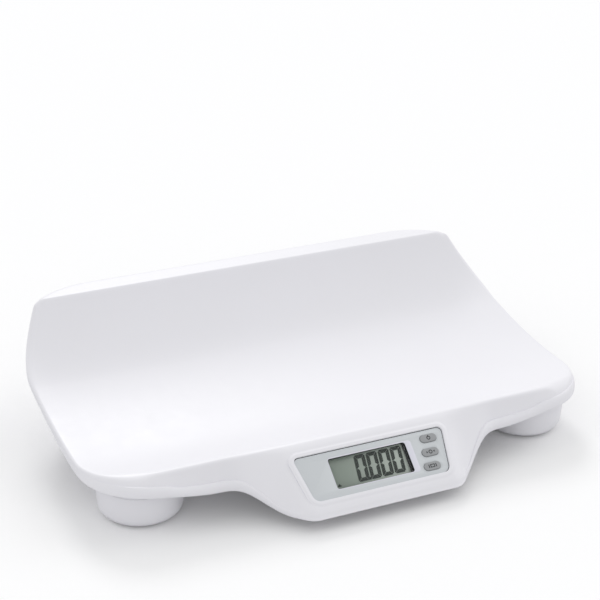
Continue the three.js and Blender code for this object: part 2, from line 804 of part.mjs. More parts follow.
// Stadium outline with half circles at its ends
function oval(length, width, x, y) {
  const r = width / 2;
  const run = length / 2 - r;
  const shape = new THREE.Shape();
  shape.absarc(x + run, y, r, -quarter, quarter, false);
  shape.absarc(x - run, y, r, quarter, 3 * quarter, false);
  shape.closePath();
  return shape;
}

const facePlate = cut(extrude(plateOutline(0), plateBack, plateTop), [
  extrude(roundedBox(windowWidth / 2, windowHeight / 2, windowR, windowX, windowY), plateBack - overrun,
    plateTop + overrun),
  ...buttons.map(([x, y]) => extrude(oval(buttonLength + 2 * clearance, buttonWidth + 2 * clearance, x, y),
    plateBack - overrun, plateTop + overrun)),
]);
addPiece('face_plate', facePlate, greyPlastic, face);

const lensShape = (grow) => roundedBox(lensHalfX + grow, lensHalfY + grow, windowR, windowX, windowY);
addPiece('display_lens', extrude(lensShape(0), lensBack, lensTop), lensClear, face);
addPiece('lcd_panel', extrude(lensShape(0), lcdBack, lcdTop), lcdGlass, face);
const lcdFrame = cut(extrude(lensShape(clearance + frameWall), frameBack, lensTop), [
  extrude(lensShape(clearance), frameBack - overrun, lensTop + overrun),
]);
addPiece('lcd_frame', lcdFrame, darkPlastic, face);

const boardShape = roundedBox(boardHalfWidth, boardHalfHeight, windowR);
addPiece('display_board', extrude(boardShape, boardBack, boardTop), boardGreen, face);

// A button's stem dips into its switch, which has room below it for the travel
const flangeTop = plateBack - clearance;
const flangeBack = flangeTop - buttonFlangeThick;
const switchTop = flangeBack - clearance - buttonTravel;
const stemTip = switchTop - stemDip;
buttons.forEach(([x, y, name]) => {
  const cap = extrude(oval(buttonLength, buttonWidth, x, y), flangeBack, plateTop + buttonProud);
  const flange = extrude(oval(buttonLength + 2 * buttonFlange, buttonWidth + 2 * buttonFlange, x, y),
    flangeBack, flangeTop);
  const stem = rod(stemR, x, y, stemTip, flangeTop, holeSides);
  addPiece(name, join([cap, flange, stem]), buttonPlastic, face);
  const half = switchSide / 2;
  const housing = block([x - half, y - half, boardTop + clearance], [x + half, y + half, switchTop]);
  const wellFloor = stemTip - buttonTravel - clearance;
  const well = rod(stemR + clearance, x, y, wellFloor, switchTop + overrun, holeSides);
  addPiece(name.replace('button', 'tact_switch'), cut(housing, [well]), darkPlastic, face);
});

function backOutline(shrink) {
  const top = backTopHalf - shrink;
  const bottom = backBottomHalf - shrink;
  const half = backHalfHeight - shrink;
  const corners = [[-bottom, -half], [bottom, -half], [top, half], [-top, half]];
  return roundedPolygon(corners, corners.map(() => backCornerR - shrink));
}

const backCover = cut(extrude(backOutline(0), -backDepth, -backDepth + backWallHeight), [
  extrude(backOutline(backWall), backFloor, -backDepth + backWallHeight + overrun),
  ...[-1, 1].map((side) => rod(screwR + clearance, side * displayPostX, displayPostY, -backDepth - overrun,
    backFloor + overrun, holeSides)),
  block([-leadSlotHalf, backHalfHeight - backWall - overrun, backFloor],
    [leadSlotHalf, backHalfHeight + overrun, 0]),
]);
addPiece('display_back_cover', backCover, whitePlastic, face);
[-1, 1].forEach((side) => {
  const piece = addPiece(`display_screw_${side < 0 ? 'left' : 'right'}`, screw(displayScrewLength), steel, face);
  piece.rotation.x = Math.PI;
  piece.position.set(side * displayPostX, displayPostY, -backDepth - clearance + displayScrewLength);
});

// Leads inside the housing: from each load cell and from the batteries to the board's top edge.
// A lead has as many steps between any two of its points, so its short bends are the fine ones.
const section = new THREE.Shape(new THREE.EllipseCurve(0, 0, leadR, leadR).getPoints(leadSides)
  .slice(0, leadSides));
function lead(name, points) {
  const curve = new THREE.CatmullRomCurve3(points.map((p) => new THREE.Vector3(...p)), false, 'centripetal');
  curve.getUtoTmapping = (share) => share;
  const geometry = new THREE.ExtrudeGeometry(section, {
    steps: leadStepsPerPoint * (points.length - 1), bevelEnabled: false, extrudePath: curve,
  });
  addPiece(name, solid(geometry), leadJacket);
}

const boardEdge = new THREE.Vector3(0, boardHalfHeight + clearance, boardBack)
  .applyMatrix4(face.matrix);
const leadBend = 4 * leadR;
const leadRise = baseFloor + leadR;
const leadLowZ = loadCellZ + cellThick + clearance;
const slotY = baseFrontY + baseWall / 2;
const insideWallY = screwFrontY + basePostR + leadBend;
const boardUp = new THREE.Vector3(0, leadBend, 0).applyQuaternion(face.quaternion);
const towardsBoard = (x) => [
  [x, slotY + leadBend, leadZ], [x, slotY, leadZ + leadR],
  [x, boardEdge.y + leadSettleShare * boardUp.y, boardEdge.z + leadSettleShare * boardUp.z],
  [x, boardEdge.y + boardUp.y / 2, boardEdge.z + boardUp.z / 2], [x, boardEdge.y, boardEdge.z],
];
feet.forEach(([x, y, place]) => {
  const side = Math.sign(x);
  const atFront = y < floorLowY;
  const lane = side * leadPitch * (atFront ? 2 : 1);
  const way = atFront
    ? [[x - side * cupTopR, insideWallY, leadZ], [screwFrontX / 2 * side, insideWallY, leadZ]]
    : [[x - side * cupTopR, y / 2, leadZ], [screwFrontX / 2 * side, 0, leadZ], [2 * lane, floorLowY, leadZ]];
  lead(`load_cell_lead_${place}`, [
    [x, y, leadLowZ], [x, y, leadRise], [x - side * leadR, y, (leadRise + leadZ) / 2],
    [x - side * leadBend, y, leadZ], ...way, ...towardsBoard(lane),
  ]);
});

// Battery bay: cells, contacts and the sliding door
const batteryZ = doorTop + clearance + cellR;
const bayFrontFace = -bayHalfY + clearance;
const bayRearFace = bayHalfY - clearance;
const springLength = 2 * bayHalfY - cellLength - nubLength - 2 * contactThick - 4 * clearance;
const batteryX = (i) => (i - (batteryCount - 1) / 2) * batteryPitch;

function makeBattery() {
  const profile = [[0, 0], [cellR, 0], [cellR, cellLength], [nubR, cellLength], [nubR, cellLength + nubLength],
    [0, cellLength + nubLength]].map(([r, z]) => new THREE.Vector2(r, z));
  return new THREE.LatheGeometry(profile, roundSteps);
}

// A lathe stands along Y; a cell with its nub to the front is turned end for end
const nubAtFront = (i) => i % 2 === 0;
for (let i = 0; i < batteryCount; i += 1) {
  const piece = addPiece(`battery_${i + 1}`, makeBattery(), batteryJacket);
  const nubFace = bayHalfY - contactThick - 2 * clearance;
  if (nubAtFront(i)) {
    piece.rotation.x = Math.PI;
    piece.position.set(batteryX(i), -nubFace + cellLength + nubLength, batteryZ);
  } else {
    piece.position.set(batteryX(i), nubFace - cellLength - nubLength, batteryZ);
  }
}

// Contact plate over one or two cells, with a spring cone for each negative end
function contact(name, cells, atFront) {
  const xs = cells.map(batteryX);
  const face0 = atFront ? bayFrontFace : bayRearFace - contactThick;
  const plate = block(
    [Math.min(...xs) - contactWidth / 2, face0, batteryZ - contactHeight / 2],
    [Math.max(...xs) + contactWidth / 2, face0 + contactThick, batteryZ + contactHeight / 2],
  );
  const springs = cells.filter((i) => nubAtFront(i) !== atFront).map((i) => {
    const length = springLength + contactThick / 2;
    const [rearR, frontR] = atFront ? [springTipR, springR] : [springR, springTipR];
    const geometry = new THREE.CylinderGeometry(rearR, frontR, length, holeSides);
    geometry.translate(batteryX(i), face0 + contactThick / 2 + (atFront ? length : -length) / 2, batteryZ);
    return solid(geometry);
  });
  addPiece(name, join([plate, ...springs]), steel);
}

contact('battery_contact_front_1', [0], true);
contact('battery_contact_front_2', [1, 2], true);
contact('battery_contact_front_3', [3], true);
contact('battery_contact_rear_1', [0, 1], false);
contact('battery_contact_rear_2', [2, 3], false);

const doorBottom = bayBottomZ + railDepth + clearance;
const doorHalfX = bayHalfX - clearance;
const grip = (i) => block(
  [-doorGripLength / 2, bayHalfY - (i + 1) * doorGripPitch, doorBottom - doorGripHeight],
  [doorGripLength / 2, bayHalfY - (i + 1) * doorGripPitch + doorGripWidth, doorTop - doorThick / 2],
);
addPiece('battery_door', join([
  block([-doorHalfX, -bayHalfY + clearance, doorBottom], [doorHalfX, bayHalfY + bayWall, doorTop]),
  ...Array.from({ length: doorGripCount }, (_, i) => grip(i)),
]), whitePlastic);

lead('battery_lead', [
  [0, batteryLeadY, baseZ + clearance], [0, batteryLeadY, leadRise],
  [0, batteryLeadY - leadR, (leadRise + leadZ) / 2], [0, batteryLeadY - leadBend, leadZ],
  [0, insideWallY, leadZ], ...towardsBoard(0),
]);

export default scale;
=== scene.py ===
# %% [markdown]
# # An electronic baby scale on its four round feet
# The scale is one long white tray shaped like a valley, with a grey display in a pod that grows
# out of its front apron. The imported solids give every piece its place. This script keeps those
# places and makes the pieces as the eye sees them: finer shapes, mouldings and finishes.
# Sizes are in a maker's millimetres, and become Blender's metres when a mesh is made.

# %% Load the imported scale
import math

import bmesh
import bpy
import numpy as np
from mathutils import Matrix, Vector, bvhtree, geometry


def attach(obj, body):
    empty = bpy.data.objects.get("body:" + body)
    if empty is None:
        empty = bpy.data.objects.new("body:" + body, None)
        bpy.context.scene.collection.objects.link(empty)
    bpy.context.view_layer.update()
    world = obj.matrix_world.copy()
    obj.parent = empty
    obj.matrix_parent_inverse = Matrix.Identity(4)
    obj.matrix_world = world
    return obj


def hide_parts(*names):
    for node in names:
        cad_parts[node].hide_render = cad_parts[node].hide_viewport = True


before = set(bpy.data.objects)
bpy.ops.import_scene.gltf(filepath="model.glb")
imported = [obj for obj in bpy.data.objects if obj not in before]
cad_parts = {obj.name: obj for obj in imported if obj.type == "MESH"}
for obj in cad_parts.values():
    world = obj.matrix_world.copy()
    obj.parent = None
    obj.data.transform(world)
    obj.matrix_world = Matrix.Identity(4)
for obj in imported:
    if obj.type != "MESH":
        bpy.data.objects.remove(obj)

MM = 0.001
FULL_TURN = 2 * math.pi
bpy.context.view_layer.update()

# %% [markdown]
# ## The camera
# The photograph is taken from the front left and a little above, from about 1.7 metres away.
# A camera could be aimed at a point, but then its roll is hard to set. Here it looks straight
# down at first, is rolled and tipped up, and then turned, so that each turn is one number.

# %% Place the camera
CAMERA_PLACE = Vector((-641.205, -1323.803, 836.744)) * MM
CAMERA_TURN, CAMERA_PITCH, CAMERA_ROLL = -25.3895, 25, 1
SENSOR, LENS = 36, 95.11
SIGHT_START, SIGHT_END = 0.05, 60


def link(thing):
    """Puts an object in the scene."""
    bpy.context.scene.collection.objects.link(thing)
    return thing


def turn_about(axis, degrees):
    return Matrix.Rotation(math.radians(degrees), 4, axis)


camera = link(bpy.data.objects.new("camera", bpy.data.cameras.new("camera")))
camera.matrix_world = (Matrix.Translation(CAMERA_PLACE) @ turn_about("Z", CAMERA_TURN)
                       @ turn_about("X", 90 - CAMERA_PITCH) @ turn_about("Z", CAMERA_ROLL))
camera.data.sensor_width, camera.data.lens = SENSOR, LENS
camera.data.clip_start, camera.data.clip_end = SIGHT_START, SIGHT_END
bpy.context.scene.camera = camera
bpy.context.scene.view_settings.view_transform = "Standard"
print("camera is", round(CAMERA_PLACE.length, 2), "m from the scale")

# %% [markdown]
# ## Light and floor
# A white object on a white ground is drawn only by its shades. The main light comes from
# every side, as in a tent of white cloth, and that is the sky. A soft light from behind makes the
# scale throw its shadow towards the viewer, and two weak ones at the sides lift the ground beside
# it. The lamps are suns, because a sun lights the ground evenly and a near lamp leaves a dim side.
# The floor is paper that is as white as the picture's ground, and it keeps the scale's shadow.


# %% Helpers for shader trees
def node(tree, kind, **settings):
    """Adds a node. Settings that are sockets are set by their name, the others as properties."""
    made = tree.nodes.new(kind)
    for name, value in settings.items():
        if name in made.inputs:
            made.inputs[name].default_value = value
        else:
            setattr(made, name, value)
    return made


def wire(tree, *pairs):
    """Joins pairs of output and input sockets."""
    for output, socket in pairs:
        tree.links.new(output, socket)


def choose(tree, share, first, second, output):
    """Shows the first shader where share is 0 and the second where it is 1."""
    pick = node(tree, "ShaderNodeMixShader")
    wire(tree, (share, pick.inputs[0]), (first.outputs[0], pick.inputs[1]),
         (second.outputs[0], pick.inputs[2]), (pick.outputs[0], output.inputs["Surface"]))


def new_material(name):
    """A material with an empty tree, and its output node."""
    material = bpy.data.materials.new(name)
    material.use_nodes = True
    material.node_tree.nodes.clear()
    return material, material.node_tree, node(material.node_tree, "ShaderNodeOutputMaterial")


# %% Light the scale
LAMPS = {
    "rear_sun": {"side": 14, "rise": 38, "spread": 20, "level": 0.13},
    "right_sun": {"side": 88, "rise": 35, "spread": 40, "level": 0.07},
    "left_sun": {"side": -80, "rise": 35, "spread": 40, "level": 0.03},
}
SKY_STRENGTH = 0.74
SKY_COLOUR = (0.99, 0.992, 1.0, 1)
WHITE = (1, 1, 1, 1)


def sun(name, side, rise, spread, level):
    """A distant lamp. Side is its bearing clockwise from +Y, rise its height and spread its width,
    in degrees. Level is how bright it alone makes white paper on the floor."""
    side, rise = math.radians(side), math.radians(rise)
    lamp = link(bpy.data.objects.new(name, bpy.data.lights.new(name, "SUN")))
    lamp.data.angle = math.radians(spread)
    lamp.data.energy = level * math.pi / math.sin(rise)
    lamp.location = Matrix.Rotation(-side, 3, "Z") @ Vector((0, math.cos(rise), math.sin(rise)))
    lamp.rotation_mode = "QUATERNION"
    lamp.rotation_quaternion = lamp.location.to_track_quat("Z", "Y")
    return level


floor_level = SKY_STRENGTH + sum(sun(name, **sizes) for name, sizes in LAMPS.items())
world = bpy.data.worlds.new("studio")
world.use_nodes = True
sky = world.node_tree
sky.nodes.clear()
rays = node(sky, "ShaderNodeLightPath").outputs
seen_white = rays["Is Camera Ray"]
for kind in ("Is Glossy Ray", "Is Transmission Ray"):
    either = node(sky, "ShaderNodeMath", operation="MAXIMUM")
    wire(sky, (seen_white, either.inputs[0]), (rays[kind], either.inputs[1]))
    seen_white = either.outputs[0]
fill = node(sky, "ShaderNodeBackground", Color=SKY_COLOUR, Strength=SKY_STRENGTH)
white = node(sky, "ShaderNodeBackground", Color=WHITE, Strength=1.0)
choose(sky, seen_white, fill, white, node(sky, "ShaderNodeOutputWorld"))
bpy.context.scene.world = world
print("light on level ground:", round(floor_level, 3))

# %% Lay the floor
FLOOR_HALF = 30
FLOOR_GLOW = 0.03
PAPER_COLOUR = (0.8, 0.8, 0.805, 1)

floor_mesh = bpy.data.meshes.new("floor")
floor_corners = np.array([(-1, -1, 0), (1, -1, 0), (1, 1, 0), (-1, 1, 0)]) * FLOOR_HALF
floor_mesh.from_pydata(floor_corners.tolist(), [], [(0, 1, 2, 3)])
floor = link(bpy.data.objects.new("floor", floor_mesh))
floor_paint, tree, output = new_material("floor_paper")
paper = node(tree, "ShaderNodeBsdfDiffuse", Color=PAPER_COLOUR)
seen_paper = node(tree, "ShaderNodeBsdfDiffuse", Color=WHITE)
glow = node(tree, "ShaderNodeEmission", Color=WHITE, Strength=FLOOR_GLOW)
seen = node(tree, "ShaderNodeAddShader")
wire(tree, (seen_paper.outputs[0], seen.inputs[0]), (glow.outputs[0], seen.inputs[1]))
choose(tree, node(tree, "ShaderNodeLightPath").outputs["Is Camera Ray"], paper, seen, output)
floor_mesh.materials.append(floor_paint)
print("floor laid,", 2 * FLOOR_HALF, "m wide")

# %% [markdown]
# ## Helpers for pieces
# Every piece ends the same way: its points become metres, it is linked to the scene, its
# smooth faces are shaded smooth and its real edges stay sharp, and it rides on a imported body.


# %% Make and place pieces
SHARP = 38


def piece_from(name, points, faces, finish, sharp=SHARP):
    """A mesh object from points in millimetres. Edges bent by more degrees stay sharp."""
    mesh = bpy.data.meshes.new(name)
    mesh.from_pydata((np.asarray(points, float) * MM).tolist(), [], [tuple(f) for f in faces])
    mesh.validate()
    return piece_of(name, mesh, finish, sharp)


def piece_of(name, mesh, finish, sharp=SHARP):
    """Links a finished mesh, shades it and gives it its finish."""
    dress(mesh, finish)
    mesh.polygons.foreach_set("use_smooth", [True] * len(mesh.polygons))
    keep_sharp(mesh, sharp)
    return link(bpy.data.objects.new(name, mesh))


def dress(mesh, finish):
    """Makes a finish the only one of a mesh."""
    mesh.materials.clear()
    mesh.materials.append(finish)
    mesh.polygons.foreach_set("material_index", [0] * len(mesh.polygons))


def keep_sharp(mesh, degrees):
    mesh.set_sharp_from_angle(angle=math.radians(degrees))
    mesh.update()


def solid(name, shape, finish, sharp=SHARP):
    """A piece from the points and faces of closed bodies, which all face outwards."""
    piece = piece_from(name, *shape, finish, sharp)
    bodies = bmesh.new()
    bodies.from_mesh(piece.data)
    bmesh.ops.recalc_face_normals(bodies, faces=bodies.faces[:])
    bodies.to_mesh(piece.data)
    bodies.free()
    return piece


def settle(piece, slot, *nodes, body="scale_body"):
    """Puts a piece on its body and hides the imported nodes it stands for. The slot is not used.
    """
    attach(piece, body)
    if nodes:
        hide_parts(*nodes)
    print(piece.name, "has", len(piece.data.polygons), "faces and rides on", body)


def make(name, shape, finish, slot, *nodes, sharp=SHARP, body="scale_body"):
    """Makes and settles a piece from the points and faces of its closed bodies."""
    settle(solid(name, shape, finish, sharp), slot, *nodes, body=body)


# %% [markdown]
# ## Moulded plastic
# The tray, cups and cover are injection-moulded white plastic. It is nearly smooth, with a fine
# spark-eroded grain from the mould, soft cloudy changes of gloss, and a slightly warmer tone
# where the wall is thick. A few faint scratches and handling marks dull the gloss in use. All of
# these are noise patterns on the piece's own coordinates, so they stay put when pieces move.


# %% A finish made of patterns
class Finish:
    """A material whose shader takes its colour, gloss and relief from patterns on the piece."""

    def __init__(self, name, **sockets):
        self.material, self.tree, output = new_material(name)
        self.place = node(self.tree, "ShaderNodeTexCoord").outputs["Object"]
        self.shader = node(self.tree, "ShaderNodeBsdfPrincipled", **sockets)
        wire(self.tree, (self.shader.outputs[0], output.inputs["Surface"]))

    def feed(self, share, socket, made, label, target):
        """Sends a pattern through a made node into a socket of the shader."""
        wire(self.tree, (share, made.inputs[socket]),
             (made.outputs[label], self.shader.inputs[target]))

    def noise(self, scale, detail, roughness=0.5, stretch=None):
        """A cloudy pattern, finer with a larger scale, which can be drawn out along an axis."""
        tree, place = self.tree, self.place
        if stretch:
            drawn = node(tree, "ShaderNodeMapping", Scale=stretch)
            wire(tree, (place, drawn.inputs["Vector"]))
            place = drawn.outputs["Vector"]
        made = node(tree, "ShaderNodeTexNoise", Scale=scale, Detail=detail, Roughness=roughness)
        wire(tree, (place, made.inputs["Vector"]))
        return made.outputs[0]

    def tint(self, share, dark, light):
        """Mixes the base colour from two colours."""
        mixed = node(self.tree, "ShaderNodeMix", data_type="RGBA", A=(*dark, 1), B=(*light, 1))
        self.feed(share, "Factor", mixed, "Result", "Base Color")

    def gloss(self, share, low, high, start=0.0, end=1.0):
        """Spreads the roughness between two values, over a part of a pattern's range."""
        ramp = node(self.tree, "ShaderNodeMapRange",
                    **{"From Min": start, "From Max": end, "To Min": low, "To Max": high})
        self.feed(share, "Value", ramp, "Result", "Roughness")

    def relief(self, height, strength, depth):
        """Lets a pattern rise and fall by a depth in metres."""
        bump = node(self.tree, "ShaderNodeBump", Strength=strength, Distance=depth)
        self.feed(height, "Height", bump, "Normal", "Normal")


def moulded(name, colour, roughness, grain=0.02, grain_scale=2600, tone=0.02, wear=0.06,
            specular=0.5):
    """Plastic with a fine grain, cloudy gloss, slight tone changes and faint wear marks."""
    made = Finish(name, **{"Specular IOR Level": specular})
    darker = [c * (1 - tone * fade) for c, fade in zip(colour, (1, 1, 1.4))]
    lighter = [min(1, c * (1 + tone * 0.4)) for c in colour]
    clouds, handling = made.noise(9, 3, 0.55), made.noise(70, 6, 0.7)
    sparks = made.noise(grain_scale, 2, 0.6)
    made.tint(clouds, darker, lighter)
    made.gloss(handling, roughness - wear / 2, roughness + wear, start=0.3, end=0.75)
    made.relief(sparks, grain, 0.0004)
    return made.material


white_plastic = moulded("moulded_white", (0.895, 0.89, 0.93), 0.38, specular=0.36)
print("white plastic mixed")

# %% [markdown]
# ## The tray
# The tray is one thin shell. Its lying surface is a valley: a shallow floor, a rear wall that
# curves up as an arc, and a flat flange behind it. Round its edge a skirt hangs down, and along
# the front it becomes an apron with a rounded lip, which rises in an arch beside the display pod.
# A sculptor would push points about by hand. Here each height and each edge is a rule, so the
# surface is sampled from those rules as a fine grid with rings round it. That gives exact,
# even faces, and the rounded creases can be set by a radius.

# %% Sizes of the tray
HALF_LENGTH = 275
REAR_EDGE, REAR_CREASE, REAR_HEIGHT = 184, 154, 129
WALL_START, WALL_START_HEIGHT = 75, 65.4
FLOOR_LOW, FLOOR_HEIGHT = -45, 51
FRONT_CREASE, FRONT_HEIGHT = -118, 62.7
END_RISE, END_RISE_FROM, FRONT_RISE_SHARE = 4, 175, 0.5
REAR_CORNER, FRONT_CORNER = 95, 60
FRONT_START, REAR_START = FRONT_CREASE + FRONT_CORNER, REAR_EDGE - REAR_CORNER
TRAY_WALL, CREASE_BLEND, STEEPEST, TRAY_SHARP = 2.8, 4.2, 0.985, 50

wall_tilt = math.atan(2 * (WALL_START_HEIGHT - FLOOR_HEIGHT) / (WALL_START - FLOOR_LOW))
wall_deep = REAR_CREASE - WALL_START
wall_high = REAR_HEIGHT - WALL_START_HEIGHT
wall_radius = (wall_deep ** 2 + wall_high ** 2) / (
    2 * (wall_high * math.cos(wall_tilt) - wall_deep * math.sin(wall_tilt)))
print("rear wall bends with a radius of", round(wall_radius), "mm")


# %% Height of the lying surface
def ease(value, start, end):
    """A ramp from 0 at start to 1 at end, without a kink."""
    t = np.clip((np.asarray(value, float) - start) / (end - start), 0, 1)
    return t * t * (3 - 2 * t)


def mix(a, b, t):
    return a + (b - a) * t


def soft_min(a, b, blend):
    """The lower of two values, with the corner between them rounded over blend."""
    share = np.clip(0.5 + 0.5 * (b - a) / blend, 0, 1)
    return mix(b, a, share) - blend * share * (1 - share)


def tray_height(x, y):
    """Height of the lying surface over its plan, with the rear crease rounded."""
    sine = np.clip(math.sin(wall_tilt) + (y - WALL_START) / wall_radius, 0, STEEPEST)
    wall = WALL_START_HEIGHT + wall_radius * (math.cos(wall_tilt) - np.sqrt(1 - sine ** 2))
    behind = y > FLOOR_LOW
    rising = (y - FLOOR_LOW) / np.where(behind, WALL_START - FLOOR_LOW, FRONT_CREASE - FLOOR_LOW)
    edge = np.where(behind, WALL_START_HEIGHT, FRONT_HEIGHT)
    floor_part = mix(FLOOR_HEIGHT, edge, rising ** 2)
    base = np.where(y > WALL_START, soft_min(wall, float(REAR_HEIGHT), CREASE_BLEND), floor_part)
    out = np.clip((np.abs(x) - END_RISE_FROM) / (HALF_LENGTH - END_RISE_FROM), 0, None)
    back_share = np.clip((y - FLOOR_LOW) / (REAR_CREASE - FLOOR_LOW), 0, 1)
    front_share = (y - FLOOR_LOW) / (FRONT_CREASE - FLOOR_LOW)
    along = np.where(behind, 1 - back_share ** 2, 1 - FRONT_RISE_SHARE * front_share ** 2)
    return base + END_RISE * out ** 2 * along


print("lowest point of the valley:", float(tray_height(0.0, FLOOR_LOW)), "mm")

# %% Sizes of the tray's edge
REAR_SKIRT, END_SKIRT, CORNER_SKIRT, SHOULDER_DROP = 16, 9, 13, 19
ARCH_DROP, ARCH_REACH, ARCH_LIP = 30, 12.5, 10.5
LIP_FLARE, POD_FLARE = 5.6, 3
END_LIP_SHARE, CORNER_LIP_SHARE = 0.33, 0.7
CORNER_LIP_TURN, CORNER_LIP_END = 0.35, 0.6
POD_HALF, POD_FLANK = 82, 150
POD_FALL_INNER, POD_FALL_OUTER, BEAD_FULL = 95, 140, 98
POD_DROP, POD_LIP, POD_REACH = 50.4, 5.5, 66
POD_CORNER_BLEND, POD_POWER = 0.12, 1.5
FACE_START, FACE_SLOPE = 0.18, 1.0933
REAR_ROUND, END_ROUND, FRONT_ROUND, CORNER_ROUND = 8, 3.2, 4.6, 11
REAR_ROUND_FROM, REAR_ROUND_TO = 60, 110
SOFT_FROM, SOFT_FULL, SOFT_LEAVES, SOFT_END = 42, 72, 76, 90
SHARP_SHARE, SOFT_SHARE = 0.6, 0.92


# %% Shape of the tray's edge
def edge_of(x, y, z):
    """How far the edge reaches out and drops at places on the tray's outline: reach, drop, the
    lip's height and flare, and how much of a bead the lip is."""
    x = np.abs(x)
    end = mix(END_SKIRT, CORNER_SKIRT, ease(y, WALL_START, FRONT_START))
    rear = mix(end, REAR_SKIRT, ease(y, WALL_START, REAR_CREASE))
    side_drop = np.where(y > REAR_CREASE, z - (REAR_HEIGHT - REAR_SKIRT), rear)
    corner_x = HALF_LENGTH - FRONT_CORNER
    angle = np.arctan2(FRONT_START - y, np.maximum(x - corner_x, 1e-9)) / (math.pi / 2)
    turn = ease(np.where(x < corner_x, 1, angle), 0, 1)
    pod_share = soft_min(1.0, (POD_FLANK - x) / (POD_FLANK - POD_HALF), POD_CORNER_BLEND)
    pod = np.clip(pod_share, 0, 1) ** POD_POWER
    fall = ease(x, POD_FALL_OUTER, POD_FALL_INNER)
    shoulder = ease(x, HALF_LENGTH - FRONT_CORNER / 2, POD_FLANK)
    arch = mix(mix(CORNER_SKIRT, SHOULDER_DROP, turn), ARCH_DROP, shoulder)
    front = y <= FRONT_START
    drop = np.where(front, mix(arch, POD_DROP, fall), side_drop)
    at_corner = ease(turn, 0, CORNER_LIP_TURN) * ease(shoulder, CORNER_LIP_END, 0)
    lip_high = np.minimum(ARCH_LIP, drop * mix(END_LIP_SHARE, CORNER_LIP_SHARE, at_corner))
    lip = np.where(front, mix(lip_high, POD_LIP, fall), drop * END_LIP_SHARE)
    reach = np.where(front, mix(turn * ARCH_REACH, POD_REACH, pod), 0)
    flare = np.where(front, turn * mix(LIP_FLARE, POD_FLARE, fall), 0)
    bead = np.where(front, ease(turn, 0.05, 0.35) * ease(x, POD_HALF, BEAD_FULL), 0)
    return reach, drop, lip, flare, bead


def apron_fall(share):
    """Share of the drop at a share of the reach: a soft shoulder, then the display's plane."""
    value_end = 1 - FACE_SLOPE * (1 - FACE_START)
    bend = (FACE_SLOPE - value_end / FACE_START) / FACE_START
    start = FACE_SLOPE - 2 * bend * FACE_START
    plane = 1 - FACE_SLOPE * (1 - share)
    return np.where(share < FACE_START, share * (start + bend * share), plane)


print("apron falls", round(float(apron_fall(0.5)), 3), "of its drop at half its reach")

# %% Rows and columns of the tray's grid
CREASE_OUT, CREASE_IN, WALL_TOP = 2.9, 6.5, 144.6
REAR_TURN_END = 3.6
POD_ZONE = 10


def tray_grid():
    """Plan of the grid inside the rounded edge, and the outline: each outline point's outward
    direction and the width of the rounding there."""
    rear_radius = REAR_CORNER - REAR_ROUND
    rear_end = math.asin((REAR_CREASE + REAR_TURN_END - REAR_START) / rear_radius)
    rear_rows = REAR_START + rear_radius * np.sin(np.linspace(math.pi / 2, rear_end, 12))
    front_turn = np.linspace(0, math.pi / 2, 17)
    degrees = np.degrees(front_turn)
    softened = ease(degrees, SOFT_FROM, SOFT_FULL) * ease(degrees, SOFT_END, SOFT_LEAVES)
    front_round = mix(mix(END_ROUND, FRONT_ROUND, ease(degrees, 0, 90)), CORNER_ROUND, softened)
    front_rows = FRONT_START - (FRONT_CORNER - front_round) * np.sin(front_turn)
    rows = np.concatenate([
        rear_rows, np.linspace(REAR_CREASE + CREASE_OUT, REAR_CREASE - CREASE_IN, 14),
        np.linspace(WALL_TOP, WALL_START, 23), np.linspace(WALL_START, FRONT_START, 20)[1:-1],
        front_rows])
    front = slice(-len(front_rows), None)
    rear = rows > REAR_START
    inset = mix(END_ROUND, REAR_ROUND, ease(rows, REAR_ROUND_FROM, REAR_ROUND_TO))
    inset[front] = front_round
    sine = np.zeros(len(rows))
    sine[rear] = (rows[rear] - REAR_START) / (REAR_CORNER - inset[rear])
    sine[front] = -np.sin(front_turn)
    sine = np.clip(sine, -1, 1)
    cosine = np.sqrt(1 - sine ** 2)
    corner = np.where(rear, REAR_CORNER, 0.0)
    corner[front] = FRONT_CORNER
    width = HALF_LENGTH - np.where(corner > 0, corner - (corner - inset) * cosine, inset)
    stops = [(0, POD_HALF - POD_ZONE, 15), (POD_HALF - POD_ZONE, POD_HALF + POD_ZONE, 13),
             (POD_HALF + POD_ZONE, POD_FLANK, 17)]
    half = np.concatenate([np.linspace(*stop)[1:] for stop in stops])
    share = np.linspace(0, 1, 17)[1:]
    x = np.array([np.concatenate([-mix(POD_FLANK, w, share)[::-1], -half[::-1], [0], half,
                                  mix(POD_FLANK, w, share)]) for w in width])
    y = np.repeat(rows[:, None], x.shape[1], 1)
    insets = np.repeat(inset[:, None], x.shape[1], 1)
    corner_share = ease((np.abs(x) - POD_FLANK) / (width[:, None] - POD_FLANK), 0, 1)
    insets[front] = mix(FRONT_ROUND, insets[front], corner_share[front])
    y[front] = FRONT_START - (FRONT_CORNER - insets[front]) * np.sin(front_turn)[:, None]
    return x, y, np.stack([cosine, sine], 1), insets


def outline_of(count_rows, count_columns):
    """Grid places of the outline, clockwise from the rear left, as rows and columns."""
    last_row, last = count_rows - 1, count_columns - 1
    inner = range(1, last_row)
    return np.array([*((0, c) for c in range(count_columns)), *((r, last) for r in inner),
                     *((last_row, last - c) for c in range(count_columns)),
                     *((r, 0) for r in reversed(inner))])


grid_x, grid_y, side_out, side_inset = tray_grid()
outline = outline_of(*grid_x.shape)
print("tray grid:", grid_x.shape, "rows and columns,", len(outline), "points round it")

# %% Rings of the tray's edge
PLAIN_LIP = [(0.08, 0.08), (0.2, 0.2), (0.34, 0.34), (0.62, 0.62)]
ROUND_LIP = [(0.22, -0.04), (0.5, 0.03), (0.82, 0.27), (0.98, 0.58)]
RIM_ROUND, RIM_SHARE, RIM_STEPS = 1.3, 0.4, 5


